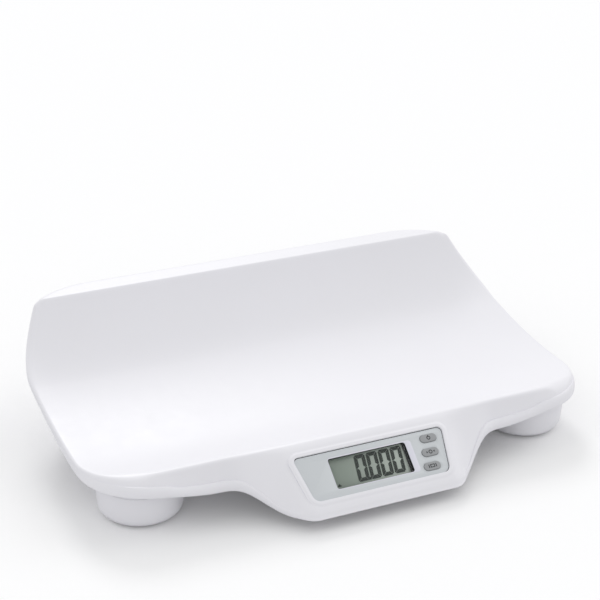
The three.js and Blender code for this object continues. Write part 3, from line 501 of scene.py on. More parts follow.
def tray_rings(beaded):
    """Points of the outline's rings, from the rounded crease down to the rim. With beaded the lip
    is a rounded bead with a groove over it, and without it the lip is a plain slope."""
    rows, columns = outline.T
    outward = side_out[rows] * np.column_stack([np.where(columns == 0, -1, 1), np.ones(len(rows))])
    outward[rows == 0] = (0, 1)
    outward[rows == grid_x.shape[0] - 1] = (0, -1)
    inset = side_inset[rows, columns]
    start = np.column_stack([grid_x[rows, columns], grid_y[rows, columns]])
    crease = start + outward * inset[:, None]
    crease_z, start_z = tray_height(*crease.T), tray_height(*start.T)
    reach, drop, lip, flare, bead = edge_of(*crease.T, crease_z)
    bead = bead * beaded
    length = np.hypot(reach - flare, drop - lip)
    softness = ease(inset, FRONT_ROUND, CORNER_ROUND) * (outward[:, 1] < 0)
    after = np.minimum(mix(SHARP_SHARE, SOFT_SHARE, softness), inset / length)

    def flank(share):
        fall = mix(share, apron_fall(share), np.minimum(1, reach / ARCH_REACH))
        return (reach - flare) * share, (drop - lip) * fall

    far_out, far_down = flank(after)
    above = crease_z - start_z
    rings = [(far_out * t ** 2 - inset * (1 - t) ** 2, far_down * t ** 2 + above * (1 - t) ** 2)
             for t in np.linspace(0, 1, 8)[1:]]
    rings += [flank(mix(after, 1, t)) for t in np.linspace(0, 1, 11)[1:]]
    rings += [(reach - flare + flare * mix(p_out, b_out, bead),
               drop - lip + lip * mix(p_down, b_down, bead))
              for (p_out, p_down), (b_out, b_down) in zip(PLAIN_LIP, ROUND_LIP)]
    rim = np.minimum(RIM_ROUND, lip * RIM_SHARE)
    rings += [(reach - rim * (1 - math.cos(turn)), drop - rim * (1 - math.sin(turn)))
              for turn in np.linspace(0, math.pi / 2, RIM_STEPS)]
    points = [np.column_stack([crease + outward * out[:, None], crease_z - down])
              for out, down in rings]
    return np.array(points), crease_z - drop


def band(lower, upper):
    """Faces between two rings of point numbers. A ring may hold one number many times."""
    quads = zip(lower, np.roll(lower, -1), np.roll(upper, -1), upper)
    return [tuple(dict.fromkeys(int(i) for i in quad)) for quad in quads]


def tray_skin(rings):
    """Points and faces of the grid and of its rings, and the point numbers of each ring."""
    rows, columns = grid_x.shape
    grid = np.column_stack([grid_x.ravel(), grid_y.ravel(), tray_height(grid_x, grid_y).ravel()])
    numbers = np.arange(rows * columns).reshape(rows, columns)
    faces = [(a, b, c, d) for a, b, c, d in zip(*(part.ravel().tolist() for part in (
        numbers[:-1, :-1], numbers[1:, :-1], numbers[1:, 1:], numbers[:-1, 1:])))]
    levels = [numbers[outline[:, 0], outline[:, 1]],
              *(len(grid) + np.arange(rings.shape[0] * rings.shape[1])).reshape(rings.shape[:2])]
    for upper, lower in zip(levels, levels[1:]):
        faces += band(upper, lower)
    return np.concatenate([grid, rings.reshape(-1, 3)]), faces, levels


def inwards(points, faces, depth):
    """The points moved inwards along their normals by a depth."""
    mesh = bpy.data.meshes.new("measure")
    mesh.from_pydata(points.tolist(), [], faces)
    mesh.update()
    normals = np.zeros(len(points) * 3, np.float32)
    mesh.vertices.foreach_get("normal", normals)
    bpy.data.meshes.remove(mesh)
    return points - normals.reshape(-1, 3) * depth


# %% Build the tray's two skins and close them at the rim
outer_rings, rim_height = tray_rings(True)
outer, outer_faces, outer_levels = tray_skin(outer_rings)
plain, plain_faces, plain_levels = tray_skin(tray_rings(False)[0][:-RIM_STEPS])
inner = inwards(plain, plain_faces, TRAY_WALL)
above, below = inner[plain_levels[-2]], inner[plain_levels[-1]]
share = (rim_height - above[:, 2]) / np.minimum(below[:, 2] - above[:, 2], -0.05)
inner_rim = np.column_stack([mix(above, below, share[:, None])[:, :2], rim_height])
shift = len(outer)
inner_rim_level = shift + len(inner) + np.arange(len(outline))
tray_points = np.concatenate([outer, inner, inner_rim])
tray_face_list = [*outer_faces, *[tuple(shift + i for i in reversed(f)) for f in plain_faces],
                  *band(inner_rim_level, shift + plain_levels[-1]),
                  *band(outer_levels[-1], inner_rim_level)]
tray = piece_from("tray", tray_points, tray_face_list, white_plastic, TRAY_SHARP)
print("tray:", len(tray.data.vertices), "points,", len(tray.data.polygons), "faces")
settle(tray, "white_plastic", "tray_shell")

# %% [markdown]
# ## The display face
# The pod's front is a plane that leans back. Everything on it is drawn flat and then laid on
# that plane: x runs to the right, y up the slope, and the third number is the height above
# the plane. Plates, rims and buttons are all outlines that grow or shrink as they rise, so one
# helper makes a closed body from an outline and a list of such steps.

# %% Lay things on the display's plane
PLATE_TOP_INSET, PLATE_HEIGHT = 5.5, 47.5
face_fall = POD_DROP - POD_LIP
face_run = POD_REACH - POD_FLARE
FACE_TILT = math.atan2(FACE_SLOPE * face_fall, face_run)
plate_down = PLATE_TOP_INSET + PLATE_HEIGHT / 2
shoulder_fall = face_fall * float(apron_fall(FACE_START))
FACE_Y = FRONT_CREASE - face_run * FACE_START - plate_down * math.cos(FACE_TILT)
FACE_Z = FRONT_HEIGHT - shoulder_fall - plate_down * math.sin(FACE_TILT)


def laid(shape):
    """A body drawn flat, laid on the display's plane."""
    (x, y, z), c, s = np.asarray(shape[0], float).T, math.cos(FACE_TILT), math.sin(FACE_TILT)
    return np.column_stack([x, FACE_Y + y * c - z * s, FACE_Z + y * s + z * c]), shape[1]


print("display leans back by", round(90 - math.degrees(FACE_TILT), 1), "degrees from upright")


# %% Outlines
def rounded(corners, radii, steps=9):
    """A polygon, counter-clockwise, whose corners are arcs with their own radii."""
    points = []
    corners = np.asarray(corners, float)
    for corner, last, coming, radius in zip(corners, np.roll(corners, 1, 0),
                                            np.roll(corners, -1, 0), radii):
        before, after = last - corner, coming - corner
        before /= np.linalg.norm(before)
        after /= np.linalg.norm(after)
        half = math.acos(np.clip(before @ after, -1, 1)) / 2
        middle = before + after
        middle = corner + middle / np.linalg.norm(middle) * radius / math.sin(half)
        x, y = corner + before * radius / math.tan(half) - middle
        for t in np.linspace(0, math.pi - 2 * half, steps):
            c, s = math.cos(t), math.sin(t)
            points.append(middle + (x * c - y * s, x * s + y * c))
    return np.array(points)


def box_between(left, right, low, high, radius, steps=9):
    return rounded([(left, low), (right, low), (right, high), (left, high)], [radius] * 4, steps)


def box_outline(half_x, half_y, radius, x=0, y=0, steps=9):
    return box_between(x - half_x, x + half_x, y - half_y, y + half_y, radius, steps)


def wedge_outline(half_low, half_high, half_y, radii, steps=9):
    """A plate wider at its top, with its radii from the lower left round."""
    low, high = np.array([half_low, -half_y]), np.array([half_high, half_y])
    return rounded([low * (-1, 1), low, high, high * (-1, 1)], radii, steps)


def ring_outline(radius, x=0, y=0, steps=32):
    turn = np.arange(steps) * FULL_TURN / steps
    return np.column_stack([x + radius * np.cos(turn), y + radius * np.sin(turn)])


def oval_outline(length, width, x, y, steps=14):
    run, r = (length - width) / 2, width / 2
    turn = np.linspace(-math.pi / 2, math.pi / 2, steps)
    right_end = np.column_stack([x + run + r * np.cos(turn), y + r * np.sin(turn)])
    return np.concatenate([right_end, 2 * np.array([x, y]) - right_end])


def grown(loop, amount):
    """The outline moved outwards by an amount, corner by corner."""
    edge = np.roll(loop, -1, 0) - loop
    edge /= np.linalg.norm(edge, axis=1)[:, None]
    out = np.column_stack([edge[:, 1], -edge[:, 0]])
    before = np.roll(out, 1, 0)
    return loop + amount * (out + before) / (1 + np.sum(out * before, 1))[:, None]


print("a ring of 32 points has", len(ring_outline(1)), "corners")


# %% Bodies that stand on outlines
def stack(loops, profile, closed=False):
    """Points and faces of a body over outlines. Each step of the profile is how far the body
    has grown and its height. The first loop is the outside and the others are holes. A closed
    profile makes a ring with no floor and top."""
    points, faces, parts, start = [], [], [], 0
    for number, loop in enumerate(loops):
        sign = -1 if number else 1
        levels = start + np.arange(len(profile) * len(loop)).reshape(len(profile), -1)
        points += [np.column_stack([grown(loop, sign * grow), np.full(len(loop), float(height))])
                   for grow, height in profile]
        for lower, upper in zip(levels, [*levels[1:], *levels[:closed]]):
            faces += band(lower, upper) if sign > 0 else band(upper, lower)
        start += levels.size
        parts.append(levels)
    points = np.concatenate(points)
    for end in () if closed else (0, -1):
        rims = [levels[end] for levels in parts]
        numbers = np.concatenate(rims).tolist()
        cap = tessellate([points[rim] for rim in rims]) if len(rims) > 1 else [range(len(numbers))]
        faces += [tuple(numbers[i] for i in (face if end else reversed(face))) for face in cap]
    return points, faces


def tessellate(loops):
    """Triangles over outlines with holes, turned to face up."""
    loops = [[Vector((x, y, 0)) for x, y, _ in loop] for loop in loops]
    flat = sum(loops, [])
    made = []
    for face in geometry.tessellate_polygon(loops):
        a, b, c = (flat[i] for i in face)
        turned_up = (b - a).cross(c - a).z
        if abs(turned_up) > 1e-9:
            made.append(face if turned_up > 0 else face[::-1])
    return made


def post(outline_points, low, high):
    """A plain upright body."""
    return stack([outline_points], [(0, low), (0, high)])


def slab(low, high, rounding):
    """Profile of a plate between two heights with rounded edges."""
    near, far = 0.3 * rounding, rounding
    return [(-far, low), (-near, low + near), (0, low + far),
            (0, high - far), (-near, high - near), (-far, high)]


def on_face(name, loops, profile, finish, slot, *nodes):
    """Makes a piece over outlines on the display's plane."""
    make(name, laid(stack(loops, profile)), finish, slot, *nodes, sharp=30)


def gather(*bodies):
    """Several bodies as the points and faces of one."""
    points, faces, offset = [], [], 0
    for body_points, body_faces in bodies:
        points.append(body_points)
        faces += [tuple(offset + i for i in face) for face in body_faces]
        offset += len(body_points)
    return np.concatenate(points), faces


def final_mesh(piece):
    """A plain mesh of what a piece's modifiers make."""
    graph = bpy.context.evaluated_depsgraph_get()
    return bpy.data.meshes.new_from_object(piece.evaluated_get(graph))


def combine(piece, operation, *bodies):
    """Adds closed bodies to a piece, or cuts them out."""
    finish = piece.data.materials[0]
    for shape in bodies:
        tool = solid("tool", shape, finish)
        work = piece.modifiers.new("work", "BOOLEAN")
        work.operation, work.solver, work.object = operation, "MANIFOLD", tool
        mesh = final_mesh(piece)
        piece.modifiers.remove(work)
        piece.data = mesh
        dress(mesh, finish)
        bpy.data.objects.remove(tool)


print("a plain post has", len(post(ring_outline(1), 0, 1)[1]), "faces")

# %% [markdown]
# ## The moulded rim and the opening
# The tray's moulding has a raised, rounded rim round the grey plate. The opening is cut from the
# tray's shell, and the rim is made as a ring of its own that covers the cut's edge, because a
# sweep gives it clean rounded edges that a cut would not leave.

# %% Cut the opening and lay the rim
PLATE_TOP_HALF, PLATE_BOTTOM_HALF = 82, 73.5
PLATE_TOP_RADIUS, PLATE_BOTTOM_RADIUS = 5, 8
PLATE_TOP, PLATE_BACK, PLATE_SLACK = -0.7, -1.5, 0.55
CUT_GROW, CUT_LOW, CUT_HIGH = 2.3, -9, 7
RIM_PROFILE = [
    (-1.4, -2.8), (-1.4, -1.9), (-1.3, -1.8), (0.2, -1.8), (0.3, -1.7), (0.3, 0.55), (0.38, 0.76),
    (0.56, 0.87), (0.85, 0.9), (2.9, 0.9), (3.5, 0.82), (4.0, 0.62), (4.5, 0.32),
    (5.0, 0.1), (5.7, 0), (6.0, -0.15), (6.0, -1.1), (4, -2.8)]

plate_radii = [PLATE_BOTTOM_RADIUS] * 2 + [PLATE_TOP_RADIUS] * 2
plate_line = wedge_outline(PLATE_BOTTOM_HALF, PLATE_TOP_HALF, PLATE_HEIGHT / 2, plate_radii, 12)
combine(tray, "DIFFERENCE", laid(post(grown(plate_line, CUT_GROW), CUT_LOW, CUT_HIGH)))
keep_sharp(tray.data, TRAY_SHARP)
print("tray with its opening:", len(tray.data.polygons), "faces")
rim = stack([plate_line], RIM_PROFILE, closed=True)
make("display_rim", laid(rim), white_plastic, "white_plastic", sharp=60)

# %% [markdown]
# ## The grey plate and its window
# A cool grey plate carries the window and the three buttons. It lies a little below the rim, so
# a fine dark line of shadow runs round it, deepened by a dark ring of painted shade in the gap.
# Its surface is a satin sprayed film, which is flatter and finer than the tray's moulding.

# %% Make the face plate
WINDOW_LEFT, WINDOW_RIGHT, WINDOW_HALF_Y, WINDOW_RADIUS = -47, 37.5, 16, 2.5
BUTTON_LENGTH, BUTTON_WIDTH, BUTTON_GAP = 18, 8, 0.3
BUTTON_PLACES = [(63.7, 14.3), (60.3, -0.2), (56.9, -14.7)]

grey_plastic = moulded("satin_grey", (0.66, 0.69, 0.71), 0.4, 0.012, 4200, 0.012)
window_line = box_between(WINDOW_LEFT, WINDOW_RIGHT, -WINDOW_HALF_Y, WINDOW_HALF_Y, WINDOW_RADIUS)
button_holes = [oval_outline(BUTTON_LENGTH + 2 * BUTTON_GAP, BUTTON_WIDTH + 2 * BUTTON_GAP, x, y)
                for x, y in BUTTON_PLACES]
plate_reach = plate_line / (PLATE_BOTTOM_HALF, PLATE_HEIGHT / 2)
fitted_line = plate_line - PLATE_SLACK * np.clip(plate_reach, 0, 1)
on_face("display_plate", [fitted_line, window_line, *button_holes],
        slab(PLATE_BACK, PLATE_TOP, 0.22), grey_plastic, "grey_plastic", "face_plate")

# %% Lay a dark ring of painted shade in the gap round the plate, and the film round the window
FILM_LEFT, FILM_RIGHT, FILM_HALF_Y, FILM_RADIUS, FILM_HIGH = -47.6, 43.9, 17, 3.2, 0.08
GAP_SHADE_OUT, GAP_SHADE_IN, GAP_SHADE_LOW, GAP_SHADE_TOP = 0.28, -1.1, PLATE_BACK - 0.28, PLATE_BACK - 0.02

dark_plastic = moulded("dark_plastic", (0.03, 0.031, 0.033), 0.5, grain=0.06, tone=0.08)
film_finish = moulded("window_film", (0.78, 0.78, 0.86), 0.22, grain=0.01, tone=0.03)
# The dark ring is painted shade: it darkens the gap round the plate where the rim's shadow falls.
gap_shade_loops = [grown(plate_line, GAP_SHADE_OUT), grown(plate_line, GAP_SHADE_IN)]
on_face("plate_seal", gap_shade_loops, [(0, GAP_SHADE_LOW), (0, GAP_SHADE_TOP)], dark_plastic, "dark_plastic")
film_line = box_between(FILM_LEFT, FILM_RIGHT, -FILM_HALF_Y, FILM_HALF_Y, FILM_RADIUS)
film_profile = slab(PLATE_TOP - 0.05, PLATE_TOP + FILM_HIGH, 0.03)
on_face("window_border", [film_line, window_line], film_profile, film_finish, "lens")

# %% [markdown]
# ## The liquid crystal display
# Behind the window lies a greenish-grey reflecting panel, and the digits are dark because the
# crystal blocks the light that the panel sends back. Its colour holds painted shade on its left
# and painted light on its right.
# The digits are seven bars each, cut at a slant where they meet and leaning a little, as on
# every such display. Thin bars of mesh keep their edges sharp at any distance.

# %% Make the panel, the dark mask of painted shade at the window's right side, and the lens
LENS_BACK, LENS_TOP, LENS_MARGIN = -3.0, -1.8, 3.5
PANEL_BACK, PANEL_TOP, PRINT_LOW = -5.9, -4.9, -4.88
SHADE_MASK_RIGHT, SHADE_MASK_HIGH, SHADE_MASK_RADIUS, SHADE_MASK_TOP = 35.1, 16.4, 1.2, -3.05


def panel_with_painted_light():
    """Reflecting panel: a greenish grey with painted light that gets lighter to the right, with a
    fine sparkle.
    """
    made = Finish("panel_with_painted_light", Roughness=0.32)
    split = node(made.tree, "ShaderNodeSeparateXYZ")
    # The ramp paints light and shade: a shaded green on the left turns to a lit green on the
    # right.
    ramp = node(made.tree, "ShaderNodeMapRange", interpolation_type="SMOOTHSTEP",
                **{"From Min": WINDOW_LEFT * MM, "From Max": WINDOW_RIGHT * MM})
    wire(made.tree, (made.place, split.inputs[0]), (split.outputs["X"], ramp.inputs["Value"]))
    made.tint(ramp.outputs["Result"], (0.3, 0.355, 0.305), (0.52, 0.58, 0.52))
    made.relief(made.noise(3500, 2), 0.05, 0.0002)
    return made.material


def clear_lens():
    """Clear plastic: mostly open to what lies behind it, with a sharp gloss and faint marks."""
    made = Finish("clear_lens", Alpha=0.05,
                  **{"Base Color": (0.01, 0.012, 0.011, 1), "Specular IOR Level": 0.8})
    made.gloss(made.noise(120, 4), 0.03, 0.12)
    return made.material


lens_half_y = WINDOW_HALF_Y + LENS_MARGIN
lens_line = box_between(WINDOW_LEFT - LENS_MARGIN, WINDOW_RIGHT + LENS_MARGIN,
                        -lens_half_y, lens_half_y, WINDOW_RADIUS)
# The dark mask is painted shade: it shows as a band along the window's right side, standing for
# the shade of the window's deep right wall.
shade_mask_hole = box_between(WINDOW_LEFT, SHADE_MASK_RIGHT, -WINDOW_HALF_Y, SHADE_MASK_HIGH, SHADE_MASK_RADIUS)
on_face("liquid_crystal_panel", [lens_line], slab(PANEL_BACK, PANEL_TOP, 0.15), panel_with_painted_light(),
        "lcd_glass", "lcd_panel")
on_face("display_mask", [grown(lens_line, -0.6), shade_mask_hole], [(0, PRINT_LOW), (0, SHADE_MASK_TOP)],
        dark_plastic, "dark_plastic")
on_face("window_lens", [lens_line], slab(LENS_BACK, LENS_TOP, 0.15), clear_lens(),
        "lens", "display_lens")

# %% Digits of seven bars
DIGIT_WIDTH, DIGIT_HEIGHT, DIGIT_BAR, DIGIT_SPLIT, DIGIT_CORNER = 12.2, 27.6, 3.9, 0.14, 1.7
DIGIT_COUNT, DIGIT_PITCH, DIGIT_START, DIGIT_FOOT = 4, 13.25, -21.6, -12.6
DIGIT_LEAN, DIGIT_THICK = 0.125, 0.08
POINT_SIZE, POINT_GAP, MARK_INSET = 2.8, 0.5, 2.6
WEIGHT_MARK = [(0, 0), (3.8, 0), (3.8, 1.1), (1.9, 3.0), (0, 1.1)]


def zero_bars():
    """Outlines of the six bars of a nought, from its lower left corner. They meet at a slant."""
    w, h, b, s, c = DIGIT_WIDTH, DIGIT_HEIGHT, DIGIT_BAR, DIGIT_SPLIT, DIGIT_CORNER
    mid, k = h / 2, c / 2
    top = np.array([(c, h), (k + s, h - k), (b + s, h - b),
                    (w - b - s, h - b), (w - k - s, h - k), (w - c, h)])
    left = np.array([(0, h - c), (0, mid + s), (b / 2, mid + s),
                     (b, mid + b / 2), (b, h - b - s), (k, h - k - s)])
    return [top, flipped(left, x=w), flipped(left, w, h),
            flipped(top, y=h), flipped(left, y=h), left]


def flipped(loop, x=None, y=None):
    """An outline mirrored inside a width, a height or both, still counter-clockwise."""
    mirrored = np.column_stack([loop[:, 0] if x is None else x - loop[:, 0],
                                loop[:, 1] if y is None else y - loop[:, 1]])
    return mirrored if (x is None) == (y is None) else mirrored[::-1]


def leaning(loop, x):
    """Moves an outline of the display to its place and leans it."""
    across, up = np.asarray(loop, float).T
    return np.column_stack([across + x + up * DIGIT_LEAN, up + DIGIT_FOOT])


shapes = [leaning(bar, DIGIT_START + i * DIGIT_PITCH)
          for i in range(DIGIT_COUNT) for bar in zero_bars()]
point_x = DIGIT_START + DIGIT_PITCH - POINT_SIZE + POINT_GAP
shapes += [leaning(POINT_SIZE * np.array([(0, 0), (1, 0), (1, 1), (0, 1)]), point_x),
           leaning(WEIGHT_MARK, WINDOW_LEFT + MARK_INSET)]
ink = Finish("display_digits", Roughness=0.3)
ink.tint(ink.noise(300, 2), (0.02, 0.03, 0.024), (0.032, 0.045, 0.036))
digit_shape = gather(*[post(shape, PRINT_LOW, PRINT_LOW + DIGIT_THICK) for shape in shapes])
make("display_digits", laid(digit_shape), ink.material, "dark_plastic", sharp=20)

# %% [markdown]
# ## The buttons
# Three oval keys stand in a leaning row. Each is a soft grey cap with a slightly domed top, a
# flange that stops it from falling out and a stem that presses its switch. A printed sign in the
# middle of each cap tells them apart: a ring with a bar, a ring with arrows and a barred window.

# %% Make the buttons
BUTTON_PROFILE = [(0.9, -2.9), (1.3, -2.7), (1.3, -2.0), (1.1, -1.8), (0, -1.8), (0, 0.12),
                  (-0.1, 0.3), (-0.3, 0.42), (-0.7, 0.49), (-1.6, 0.55), (-3.0, 0.6)]
STEM_RADIUS, STEM_TIP, STEM_TOP, STEM_EDGE = 1.6, -4.5, -2.85, 0.2
SIGN_LOW, SIGN_HIGH, BAR_HIGH = 0.45, 0.64, 0.65
RING_OUTER, RING_INNER = 2.1, 1.2
ARROW_TIP, ARROW_END, ARROW_HALF = 2.6, 4.6, 1.2

button_plastic = moulded("button_grey", (0.35, 0.36, 0.37), 0.48, grain=0.05, grain_scale=3000)
sign_ink = moulded("printed_sign", (0.03, 0.032, 0.036), 0.55, grain=0.0, tone=0.05)


def sign_of(number, x, y):
    """The printed sign of a button, as thin bodies."""
    def ink_on(*loops, high=SIGN_HIGH):
        return stack(loops, [(0, SIGN_LOW), (0, high)])

    ring = ink_on(ring_outline(RING_OUTER, x, y, 28), ring_outline(RING_INNER, x, y, 28))
    if number == 0:
        return ring, ink_on(box_outline(0.45, 1.1, 0.1, x, y + 1.8, 3), high=BAR_HIGH)
    if number == 1:
        arrow = np.array([(ARROW_TIP, 0), (ARROW_END, ARROW_HALF), (ARROW_END, -ARROW_HALF)])
        return ring, *[ink_on(np.array([x, y]) + side * arrow) for side in (-1, 1)]
    return (ink_on(box_outline(2.5, 1.8, 0.4, x, y, 4), box_outline(1.6, 0.95, 0.2, x, y, 4)),
            *[ink_on(box_outline(0.5, 1.8, 0.15, x + side * 3.9, y, 3)) for side in (-1, 1)])


for number, (x, y) in enumerate(BUTTON_PLACES):
    body = f"button_{number + 1}"
    cap = stack([oval_outline(BUTTON_LENGTH, BUTTON_WIDTH, x, y)], BUTTON_PROFILE)
    stem = stack([ring_outline(STEM_RADIUS, x, y, 16)],
                 [(-STEM_EDGE, STEM_TIP), (0, STEM_TIP + STEM_EDGE), (0, STEM_TOP)])
    make(f"button_cap_{number + 1}", laid(gather(cap, stem)), button_plastic, "button_plastic",
         body, sharp=40, body=body)
    make(f"button_sign_{number + 1}", laid(gather(*sign_of(number, x, y))), sign_ink,
         "dark_plastic", sharp=30, body=body)

# %% [markdown]
# ## Turned pieces
# The feet are round, so a turner's way fits them: one line of radius and height is swept round an
# upright axis. Each corner of that line is eased by a small curve, as a mould maker breaks every
# edge, and this catches the light as a thin bright line.


# %% Sweep a line round an upright axis
def eased_line(corners, closed=True, steps=4):
    """A line of (radius, height, easing) corners with every corner bent over its easing."""
    line, count = [], len(corners)
    places = [np.array(corner[:2], float) for corner in corners]
    for i, (place, (_, _, easing)) in enumerate(zip(places, corners)):
        if easing == 0 or (not closed and i in (0, count - 1)):
            line.append(tuple(place))
            continue
        before, after = places[i - 1] - place, places[(i + 1) % count] - place
        start = place + before / np.linalg.norm(before) * easing
        end = place + after / np.linalg.norm(after) * easing
        line += [tuple(start * (1 - t) ** 2 + 2 * place * t * (1 - t) + end * t ** 2)
                 for t in np.linspace(0, 1, steps)]
    return line


def skin(rings, closed=False):
    """Points and faces over rings of points. A ring of one point is a tip, and a closed skin
    joins its last ring to its first."""
    steps = max(len(ring) for ring in rings)
    starts = np.cumsum([0, *[len(ring) for ring in rings]])
    levels = [start + np.arange(steps) % len(ring) for start, ring in zip(starts, rings)]
    faces = [face for pair in zip(levels, levels[1:] + levels[:closed]) for face in band(*pair)]
    return np.concatenate(rings).astype(float), faces


def turned(line, steps, x=0.0, y=0.0):
    """A line of (radius, height) swept round. A line that starts on the axis is open."""
    rings = [np.column_stack([ring_outline(radius, x, y, steps), np.full(steps, height)])
             [:steps if radius else 1] for radius, height in line]
    return skin(rings, closed=bool(line[0][0] > 0))


def dense(loop, longest):
    """The outline with points added, so that no edge is longer than asked."""
    points = []
    for start, end in zip(loop, np.roll(loop, -1, 0)):
        parts = max(1, math.ceil(np.linalg.norm(end - start) / longest))
        points += [mix(start, end, k / parts) for k in range(parts)]
    return np.array(points)


corner_line = eased_line([(0, 0, 0), (1, 0, 0.1), (1, 1, 0)], closed=False)
print("a corner is eased over", len(corner_line) - 2, "points")

# %% [markdown]
# ## The four feet
# Each foot is a white cup with a round belly. It holds a steel load cell on a shelf, and a rubber
# pad hangs in its open bottom and bears on that cell, so all of the weight goes through the four
# cells. The rear feet stand closer together than the front ones. The pad's sole has round grooves
# that grip a table.

# %% Turn the cups and the rubber pads
FEET = {f"{row}_{side}": (x * sign, y) for row, x, y in (("front", 216, -75.5), ("rear", 185, 78))
        for side, sign in (("left", -1), ("right", 1))}
CUP_BOTTOM, CUP_BOTTOM_R, CUP_WAIST, CUP_WAIST_R = 2.2, 32, 15, 42.5
CUP_TOP, CUP_TOP_R, CUP_WALL, CUP_STEPS = 37.7, 44, 2.4, 96
CUP_STEP, CUP_FLANGE, CUP_FLANGE_R = 0.5, 1.5, 35.8
SHELF_LOW, SHELF_TOP, SHELF_HOLE_R = 7.1, 9.1, 14
PAD_R, PAD_HOLE_R, PAD_TOP = 29.4, 29.7, 6
COLLAR_R, COLLAR_TOP, PAD_BOSS_R, PAD_BOSS_TOP = 10, 8.3, 6, 10.6
PAD_GROOVES, GROOVE_WIDTH, GROOVE_DEPTH = (7, 12, 17, 22), 1.3, 0.8
POST_OFFSET, POST_R, POST_LOW, POST_HOLE_LOW, POST_STEPS = 31, 4, 8.6, 30.2, 28
SCREW_HOLE_R = 1.8


def belly(t):
    """A point of the cup's belly, from its bottom at t = 0 to its waist at t = 1."""
    return (CUP_BOTTOM_R * (1 - t) ** 2 + CUP_WAIST_R * (1 - (1 - t) ** 2),
            CUP_BOTTOM * (1 - t ** 2) + CUP_WAIST * t ** 2, 0)


outer_belly = [belly(t) for t in np.linspace(0, 1, 15)]
inner_belly = [(r - CUP_WALL, z, 0) for r, z, _ in reversed(outer_belly) if z > SHELF_TOP + 0.4]
shoulder_r = CUP_TOP_R - CUP_STEP
flange_low = CUP_TOP - CUP_FLANGE
cup_line = eased_line([
    (PAD_HOLE_R, CUP_BOTTOM, 0.5), *outer_belly, (CUP_TOP_R - 0.08, CUP_TOP - 1.3, 0.25),
    (shoulder_r, CUP_TOP - 1.1, 0.12), (shoulder_r, CUP_TOP, 0.25), (CUP_FLANGE_R, CUP_TOP, 0.2),
    (CUP_FLANGE_R, flange_low, 0.2), (CUP_TOP_R - CUP_WALL - 0.1, flange_low, 0.3),
    *inner_belly, (inner_belly[-1][0], SHELF_TOP, 0.4), (SHELF_HOLE_R, SHELF_TOP, 0.4),
    (SHELF_HOLE_R, SHELF_LOW, 0.4), (PAD_HOLE_R, SHELF_LOW, 0.6)])
post_line = [(0, POST_LOW), (POST_R, POST_LOW), (POST_R, CUP_TOP), (SCREW_HOLE_R, CUP_TOP),
             (SCREW_HOLE_R, POST_HOLE_LOW), (0, POST_HOLE_LOW)]
grooves = [(r + across, GROOVE_DEPTH * deep, 0.2 + 0.1 * deep) for r in PAD_GROOVES
           for across, deep in ((0, 0), (0, 1), (GROOVE_WIDTH, 1), (GROOVE_WIDTH, 0))]
pad_line = eased_line([
    (0, 0, 0), *grooves, (PAD_R, 0, 1.1), (PAD_R, PAD_TOP, 0.8), (COLLAR_R, PAD_TOP, 0.6),
    (COLLAR_R, COLLAR_TOP, 0.4), (PAD_BOSS_R, COLLAR_TOP, 0.4), (PAD_BOSS_R, PAD_BOSS_TOP, 0.5),
    (0, PAD_BOSS_TOP, 0)], closed=False)

rubber = moulded("rubber_dark", (0.035, 0.036, 0.038), 0.62, 0.12, 1800, tone=0.12, wear=0.12)
for place, (x, y) in FEET.items():
    posts = [turned(post_line, POST_STEPS, x + side * POST_OFFSET, y) for side in (-1, 1)]
    make(f"cup_{place}", gather(turned(cup_line, CUP_STEPS, x, y), *posts), white_plastic,
         "white_plastic", f"foot_cup_{place}", sharp=42)
    make(f"pad_{place}", turned(pad_line, CUP_STEPS, x, y), rubber, "rubber",
         f"foot_pad_{place}", sharp=42, body=f"foot_pad_{place}")

# %% [markdown]
# ## The base cover
# A pan closes the tray from below. Its walls rise to the tray's underside, so its rim follows the
# valley, and it carries the battery bay. On the real scale it is one moulding, so its parts are
# joined here into one solid: first what is added, then what is cut away, like work on a lathe and
# mill. Screws sink into counterbores from below.

# %% Sizes of the base cover
BASE_HALF_X, BASE_HALF_Y, BASE_MID_Y, BASE_CORNER, BASE_ROUND = 262, 117, 1, 56, 3
BASE_Z, BASE_FLOOR, BASE_WALL = 38, 40.5, 2.5
BASE_SCREWS = [(-130, -98), (130, -98), (-240, 12), (240, 12), (-125, 98), (125, 98)]
BASE_POST_R, BASE_POST_TOP, COUNTERBORE_R, COUNTERBORE_TOP = 5.5, 44, 3.1, 41.5
LEAD_HOLE_R, BATTERY_HOLE_Y, LEAD_SLOT_HALF = 2.9, -27, 24
LEAD_SLOT_FRONT, LEAD_SLOT_REAR, LEAD_SLOT_TOP = -117, -112.5, 64
BAY_HALF_X, BAY_HALF_Y, BAY_WALL, BAY_LOW = 31.2, 29.6, 2.2, 18.6
BAY_CORNER, BAY_ROUND, DOOR_CORNER, DOOR_ROUND = 2.6, 1.1, 1.2, 0.35
RAIL_LOW, DOOR_TOP, RAIL_TOP, RAIL_REACH = 20.4, 22.7, 23.0, 2.6
BASE_LOOP_LONGEST, BASE_ROUND_STEPS, RIM_GAP, COVER_SHARP = 6, 7, 0.6, 40
FOLLOW = 1000   # a height that stands for the tray's underside until following() finds it

tray_tree = bvhtree.BVHTree.FromPolygons(tray_points.tolist(), tray_face_list)


def under_rim(x, y):
    """The height of the tray's underside less a gap, found by looking straight up from below."""
    return tray_tree.ray_cast(Vector((x, y, 0)), Vector((0, 0, 1)))[0].z - RIM_GAP


def inside_wall(x, y):
    """A height halfway inside the tray's wall, measured square to it."""
    slope_x = tray_height(x + 0.5, y) - tray_height(x - 0.5, y)
    slope_y = tray_height(x, y + 0.5) - tray_height(x, y - 0.5)
    return tray_height(x, y) - TRAY_WALL / 2 * math.sqrt(1 + slope_x ** 2 + slope_y ** 2)


